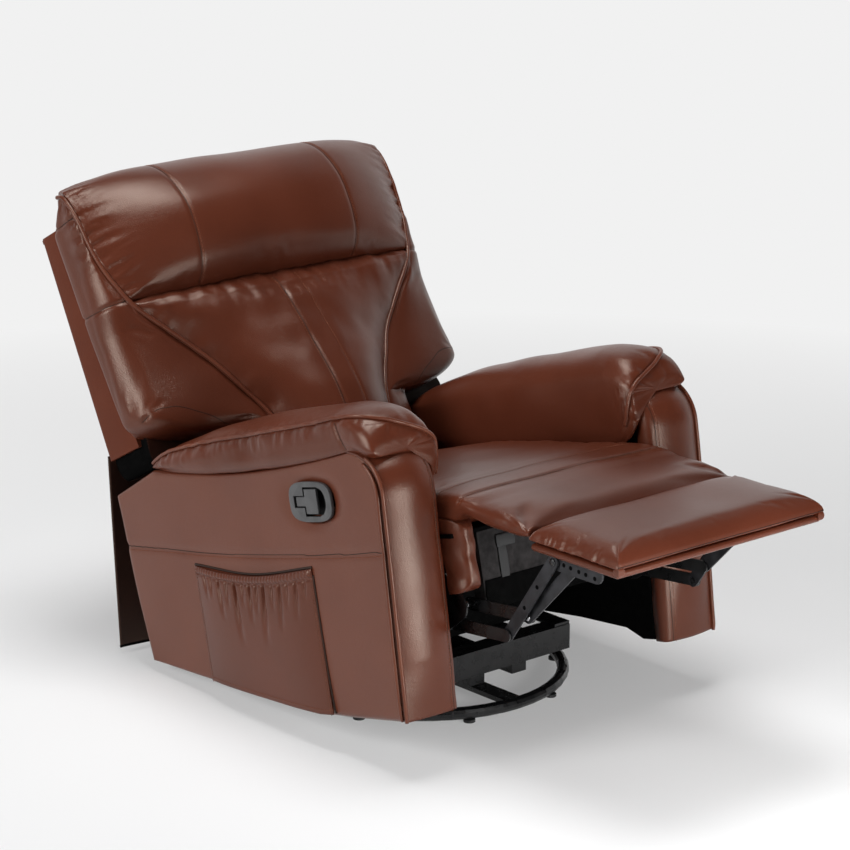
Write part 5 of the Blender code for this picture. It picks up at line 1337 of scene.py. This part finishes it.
puff(seat, [np.array(front_grid[row]) for row in band_rows], on_underside, cap=0.005)
puff(foot_pad, [], lambda p: p[:, 2] < pad_low[2] + 0.008, cap=0.004)
for side, column in ((-1, 5), (1, -6)):
    rim = np.array([row[column] for row in front_grid])
    gather(seat, rim[40:band_rows[0]], reach=0.12, pitch=0.026, depth=0.0035, seed=61 + side, start=0.2)
    gather(seat, rim[band_rows[0] - 20:band_rows[0]], reach=0.16, pitch=0.014, depth=0.0028,
           seed=63 + side, start=0.2)
    gather(seat, rim[band_rows[1]:], reach=0.06, pitch=0.030, depth=0.0018, seed=67 + side, start=0.2)
soften(seat, depth=0.0030, size=0.13, seed=65)
refine(seat)
for k, row in enumerate(band_rows):
    seam(f"seat_band_seam_{k}", seat, cover_line(row), "chair", thread=(0.0, -0.005, 0.0))
for side in (-1, 1):
    rim = in_world(side * pad_high[0], np.linspace(pad_low[1] + 0.02, pad_high[1], 50), pad_low[2] + 0.016)
    gather(foot_pad, rim[7:-8], reach=0.024, pitch=0.0085, depth=0.0032, seed=71 + side, start=0.6)
soften(foot_pad, depth=0.0022, size=0.12, seed=73)
refine(foot_pad)
tell(foot_pad)

# %% [markdown]
# The front corners of the chaise lie where the links and brackets fold in. So they are cut off the cover as
# two soft pieces of their own.

# %% Cut the chaise corners
CORNER_LOW, CORNER_HIGH = (0.200, -0.620, 0.400), (0.300, -0.510, 0.600)


def corner_block(name, sides):
    """Plain blocks over the front corners of the chaise."""
    shape = bmesh.new()
    for side in sides:
        ends = on_side([CORNER_LOW, CORNER_HIGH], side)
        low, high = ends.min(axis=0), ends.max(axis=0)
        for vert in bmesh.ops.create_cube(shape, size=1.0)["verts"]:
            vert.co = low + (np.array(vert.co) + 0.5) * (high - low)
    return as_piece(name, shape, LEATHER)


def trimmed(piece, block, operation):
    """Cut a piece with a plain block, and keep the cut edges crisp."""
    cut = piece.modifiers.new("trim", "BOOLEAN")
    cut.object, cut.operation, cut.solver = block, operation, "MANIFOLD"
    apply_modifiers(piece)
    piece.data.set_sharp_from_angle(angle=math.radians(70))
    bpy.data.objects.remove(block)


for label, side in SIDES:
    corner = bpy.data.objects.new(f"chaise_corner_{label}", seat.data.copy())
    scene.collection.objects.link(corner)
    trimmed(corner, corner_block("corner_block", [side]), "INTERSECT")
    fasten(corner, "chaise")
    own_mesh(corner)
    tell(corner)
trimmed(seat, corner_block("corner_blocks", [1, -1]), "DIFFERENCE")
tell(seat)

# %% Put the seat and footrest covers in place
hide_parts("seat_cushion", "chaise_pad")
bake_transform(seat)
cover(foot_pad, "footrest", ["footrest_pad"])
front_seam = in_world(np.linspace(-pad_high[0], pad_high[0], 80), pad_low[1] - 0.004, pad_low[2] + 0.009)
seam("footrest_front_seam", foot_pad, front_seam, "footrest", depth=0.001)
print(seat.name, "and", foot_pad.name, "in place")

# %% Seat bolsters
BOLSTER_X = (0.2200, 0.2747)
BOLSTER_Y = (-0.410, -0.354)
BOLSTER_Z = (0.246, 0.392)


def roll_place(x, y, z):
    """Lay the roll on its back, so that its crown looks forwards."""
    return level(x, BOLSTER_Y[1] - (z - BOLSTER_Y[0]), y)


for label, side in SIDES:
    xs = sorted((side * BOLSTER_X[0], side * BOLSTER_X[1]))
    low, high = ((xs[k], BOLSTER_Z[k], BOLSTER_Y[k]) for k in (0, 1))
    bolster = pillow(f"seat_roll_{label}", low, high, 0.003, roll_place, LEATHER, (36, 60), radius=0.022,
                     meet=0.1, fullness=2.5)
    soften(bolster, depth=0.0048, size=0.040, seed=81 + side, stretch=(0.8, 0.8, 1.4))
    refine(bolster)
    cover(bolster, "chair", [f"seat_bolster_{label}"])
    tell(bolster)

# %% [markdown]
# ## Leather over boards
# The shell behind the back and the footrest's board are leather pulled tight over wood. They keep the shape
# of their solids, with the sharp edges rounded over as leather does.

# %% Rounded copies
def eased(node_name, name, width, finish, segments=3):
    """A copy of a solid with its edges rounded over."""
    shape = bmesh.new()
    shape.from_mesh(frame["nodes"][node_name].data)
    bmesh.ops.remove_doubles(shape, verts=shape.verts, dist=0.00001)
    flat_enough = math.radians(1.0)
    bmesh.ops.dissolve_limit(shape, angle_limit=flat_enough, verts=shape.verts, edges=shape.edges)
    piece = as_piece(name, shape, finish)
    bevel = piece.modifiers.new("round", "BEVEL")
    bevel.width = width
    bevel.segments = segments
    bevel.limit_method = "ANGLE"
    bevel.angle_limit = math.radians(28)
    apply_modifiers(piece)
    piece.data.set_sharp_from_angle(angle=math.radians(50))
    return piece


shell = eased("back_shell", "back_shell_leather", 0.014, SHELL_LEATHER, 6)
board = eased("footrest_board", "footrest_board_leather", 0.0064, LEATHER, 6)
cover(shell, "back", ["back_shell"])
cover(board, "footrest", ["footrest_board"])
print(shell.name, len(shell.data.polygons), "faces;", board.name, len(board.data.polygons))

# %% [markdown]
# A block of black cloth fills the gap between each wing and the arm below it, as painted shade of that gap.
# Its front and inner faces are brown leather darkened as painted shade.

# %% Painted shade in the gaps under the wings
GAP_SHADE_X = (0.262, 0.392)
GAP_SHADE_N = (-0.066, 0.064)
GAP_SHADE_S = (0.080, 0.152)
up_back = upright(0, 0, 1) - upright(0, 0, 0)
for label, side in SIDES:
    xs = sorted((side * GAP_SHADE_X[0], side * GAP_SHADE_X[1]))
    low, high = ((xs[k], GAP_SHADE_N[k], GAP_SHADE_S[k]) for k in (0, 1))
    gap_shade = pillow(f"wing_gap_shade_{label}", low, high, 0.0, upright, BLACK_LINING_AND_SHADE, (40, 40), radius=0.012)
    soften(gap_shade, depth=0.003, size=0.05, seed=91 + side)
    # Front and inner faces take the darkened leather: brown leather with painted shade.
    gap_shade.data.materials.append(SHADE_DARKENED_LEATHER)
    for face in gap_shade.data.polygons:
        if face.normal.x * side < 0.3 and face.normal.dot(Vector(out_of_back)) > -0.3:
            face.material_index = 1
    fasten(gap_shade, "back")
    tuple(upright(0, 0, GAP_SHADE_S[1]).tolist())
    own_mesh(gap_shade)
    tell(gap_shade)

# %% [markdown]
# ## The flap behind
# A sheet of leather hangs from the shell's lower edge and hides the mechanism. Its brown is darkened as
# painted shade. It hangs in soft upright folds that open towards its free hem, and the hem is bound in black.

# %% Hanging flap
FLAP_HALF = 0.398
FLAP_TOP = np.array(joints["flap_hang"]["pos_m"]) + (0, 0.0045, 0.012)
FLAP_LOW_Z = 0.013
FLAP_LEAN = 0.031
FLAP_FOLD = 0.0065
FLAP_T = 0.0026
u, v = np.meshgrid(np.linspace(0, 1, 170), np.linspace(0, 1, 60))
flap_x = FLAP_HALF * (2 * u - 1)
wander = drift(u, v, 4.0, 0.8, 9.0)
fold = np.cos(2 * math.pi * 5 * (u + 0.03 * wander)) * (0.8 + 0.4 * wander)
flap_y = FLAP_TOP[1] - FLAP_LEAN * v + FLAP_FOLD * fold * v ** 0.8
flap_z = FLAP_TOP[2] + (FLAP_LOW_Z - FLAP_TOP[2]) * v
rear_face, inner_face = (in_world(flap_x, flap_y - depth, flap_z) for depth in (0.0, FLAP_T))
flap = slab("rear_flap_sheet", rear_face, inner_face, SHADE_DARKENED_LEATHER)
cover(flap, "flap", ["rear_flap"])
hem_line = in_world(flap_x, flap_y - FLAP_T / 2, flap_z + 0.002)[-1]
hem = tube("flap_hem_binding", hem_line, 0.0032, BLACK_LINING_AND_SHADE)
fasten(hem, "flap")
for piece in (flap, hem):
    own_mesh(piece)
tell(flap)

# %% [markdown]
# ## Handle, springs and rivets
# The inside of the handle's cup is black as painted shade, so that a dark gap shows round the lever. The
# springs under the seat are coils between the turning base and the rocking chair. Rivets are laid on the
# links last, with thin black discs as painted shade in the punched holes.

# %% Handle
bezel = eased("handle_bezel", "handle_rim", 0.0008, GREY_PLASTIC, 2)
bezel.data.materials.append(BLACK_PLASTIC_AND_SHADE)
# Faces behind the cup's rim take the black plastic: painted shade of the recess round the lever.
CUP_SHADE_X = -0.4115
for face in bezel.data.polygons:
    if face.center.x > CUP_SHADE_X:
        face.material_index = 1
cover(bezel, "chair", ["handle_bezel"])
paddle = eased("release_lever", "release_paddle", 0.0011, GREY_PLASTIC, 2)
lever_low, lever_high = (np.array(corner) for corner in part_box("release_lever"))
LEVER_SHARE = np.array([1.0, 0.88, 0.88])
lever_middle = (lever_low + lever_high) / 2
put_points(paddle, lever_middle + (points_of(paddle) - lever_middle) * LEVER_SHARE)
cover(paddle, "lever", ["release_lever"])
tell(paddle)

# %% Rocking springs
SPRING_TURNS, SPRING_R, WIRE_R = 5, 0.0165, 0.0022
for label, side in SIDES:
    low, high = (np.array(corner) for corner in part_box(f"rocker_spring_{label}"))
    middle = (low + high) / 2
    turn = np.linspace(0, 2 * math.pi * SPRING_TURNS, 32 * SPRING_TURNS)
    rise = np.linspace(low[2] + WIRE_R, high[2] - WIRE_R, len(turn))
    coil = in_world(middle[0] + SPRING_R * np.cos(turn), middle[1] + SPRING_R * np.sin(turn), rise)
    spring = tube(f"rocking_spring_{label}", coil, WIRE_R, SPRING_STEEL)
    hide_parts(f"rocker_spring_{label}")
    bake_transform(spring)

# %% [markdown]
# Black cloth sheets close the view into the mechanism as painted shade, and two straps hold the grey cloth at
# the front.

# %% Painted shade sheets and bars under the seat
def bar(name, low, high, finish, slot, body, place=level):
    """A plain block with rounded edges."""
    low, high = np.minimum(low, high), np.maximum(low, high)
    radius = 0.3 * float((high - low).min())
    fasten(pillow(name, low, high, 0.0, place, finish, (24, 24), radius=radius), body)


SHADE_SHEET = (BLACK_LINING_AND_SHADE, "black_lining", "chair")
STRAP = (BLACK_PLASTIC_AND_SHADE, "glide_plastic", "chair")
RAIL_FRONT_Y, RAIL_LOW_Z = -0.392, 0.205
# Black sheets below the front rail and under the seat: painted shade of the mechanism's hollow.
bar("front_rail_shade_sheet", (-0.2118, RAIL_FRONT_Y - 0.003, RAIL_LOW_Z), (0.2118, RAIL_FRONT_Y, 0.260), *SHADE_SHEET)
bar("under_seat_shade_sheet", (-0.150, -0.124, 0.138), (0.150, -0.120, 0.300), *SHADE_SHEET, in_world)
bar("rear_under_seat_shade_sheet", (-0.262, 0.296, 0.349), (0.262, 0.440, 0.353), *SHADE_SHEET)
for label, side in SIDES:
    bar(f"rail_strap_head_{label}", (side * 0.124, RAIL_FRONT_Y - 0.005, 0.316),
        (side * 0.170, RAIL_FRONT_Y, 0.340), *STRAP)
    bar(f"rail_strap_{label}", (side * 0.147, RAIL_FRONT_Y - 0.004, 0.258),
        (side * 0.168, RAIL_FRONT_Y, 0.317), *STRAP)
    bar(f"footrest_corner_tab_{label}", (side * 0.252, pad_low[1] - 0.0045, pad_low[2] - 0.010),
        (side * 0.268, pad_low[1] + 0.010, pad_low[2] + 0.008), LEATHER, "leather", "footrest", in_world)
print("bars under the seat done")

# %% Rivets, and painted shade in punched holes
STUD_PROFILE = ((-0.0003, 1.0), (0.5, 1.0), (0.85, 0.75), (1.0, 0.3))
STUD_TURNS = np.linspace(0, 2 * math.pi, 14, endpoint=False)


def studs(name, body, centres, radius, height, finish, slot):
    """Domed discs on the outer face of a side plate, at points whose x is that face."""
    shape = bmesh.new()
    for centre in centres:
        out = math.copysign(1.0, centre[0])
        rows = []
        for rise, share in STUD_PROFILE:
            x = centre[0] + out * (rise * height if rise > 0 else rise)
            ring = [(x, centre[1] + radius * share * math.cos(a), centre[2] + radius * share * math.sin(a))
                    for a in STUD_TURNS]
            rows.append([shape.verts.new(point) for point in ring])
        capped(shape, rows)
    fasten(as_piece(name, shape, finish), body)


LINK_ELBOW, LOWER_PIVOT = (-0.4784, 0.1664), (-0.300, 0.190)
BRACE_ELBOW, BRACE_PIVOT = (-0.5287, 0.1991), (-0.360, 0.220)
FOOT_HINGE = np.array(joints["footrest_fold"]["pos_m"])
LINK_X, BRACKET_X, BRACE_X = 0.2460, 0.2400, 0.2340     # outer faces of the flat steel
LOWER_LINK_X, LOWER_BRACE_X = 0.2520, 0.2350
# Punched holes are thin black discs: painted shade of the holes.
HOLE_SHADE = (0.0042, 0.0004, BLACK_LINING_AND_SHADE, "black_steel")
for label, side in SIDES:
    tag = label[0]
    foot = np.array((side * LINK_X, FOOT_HINGE[1], FOOT_HINGE[2]))
    elbow = level(side * LINK_X, *LINK_ELBOW)
    studs(f"link_rivets_{label}", f"upper_link_{tag}", [foot, elbow], 0.0072, 0.0030, BLACK_STEEL,
          "black_steel")
    along = [foot + (elbow - foot) * share for share in (0.34, 0.62)]
    studs(f"link_hole_shades_{label}", f"upper_link_{tag}", along, *HOLE_SHADE)
    holes = [(side * BRACKET_X, FOOT_HINGE[1] - 0.018 * k, FOOT_HINGE[2] - 0.0012 * k)
             for k in (1.3, 2.3, 3.5, 4.5, 5.8)]
    studs(f"bracket_hole_shades_{label}", "footrest", holes, *HOLE_SHADE)
    for name, body, x, place, radius, height in (
            ("brace_rivets", "upper_brace", BRACE_X, BRACE_ELBOW, 0.0070, 0.0030),
            ("pivot_bolts", "lower_link", LOWER_LINK_X, LOWER_PIVOT, 0.0080, 0.0035),
            ("brace_bolts", "lower_brace", LOWER_BRACE_X, BRACE_PIVOT, 0.0070, 0.0030)):
        studs(f"{name}_{label}", f"{body}_{tag}", [level(side * x, *place)], radius, height, BRIGHT_STEEL,
              "grey_steel")
print("rivets and holes done")

# %% [markdown]
# ## Carried-over parts
# Solids that are already right only need a finish.

# %% Finish the carried-over solids
BY_NAME = [
    (("base_ring", "swivel", "front_channel", "rear_channel", "rocker_track", "rocker_cam", "side_plate",
      "back_bracket", "drive_tube", "lower_"), BLACK_STEEL),
    (("upper_", "footrest_bracket"), GREY_STEEL),
    (("rocker_spring",), SPRING_STEEL),
    (("back_frame",), WOOD),
    (("seat_deck", "arm_core"), BLACK_LINING_AND_SHADE),
    (("seat_front_rail",), GREY_CLOTH),
    (("handle_bezel", "release_lever"), GREY_PLASTIC),
    (("glide",), BLACK_PLASTIC_AND_SHADE),
    (("rear_flap", "footrest_board"), SHADE_DARKENED_LEATHER),
]
for name, node in frame["nodes"].items():
    finish = next((finish for starts, finish in BY_NAME if name.startswith(starts)), LEATHER)
    node.data.materials.clear()
    node.data.materials.append(finish)
print("finished", len(frame["nodes"]), "solids")
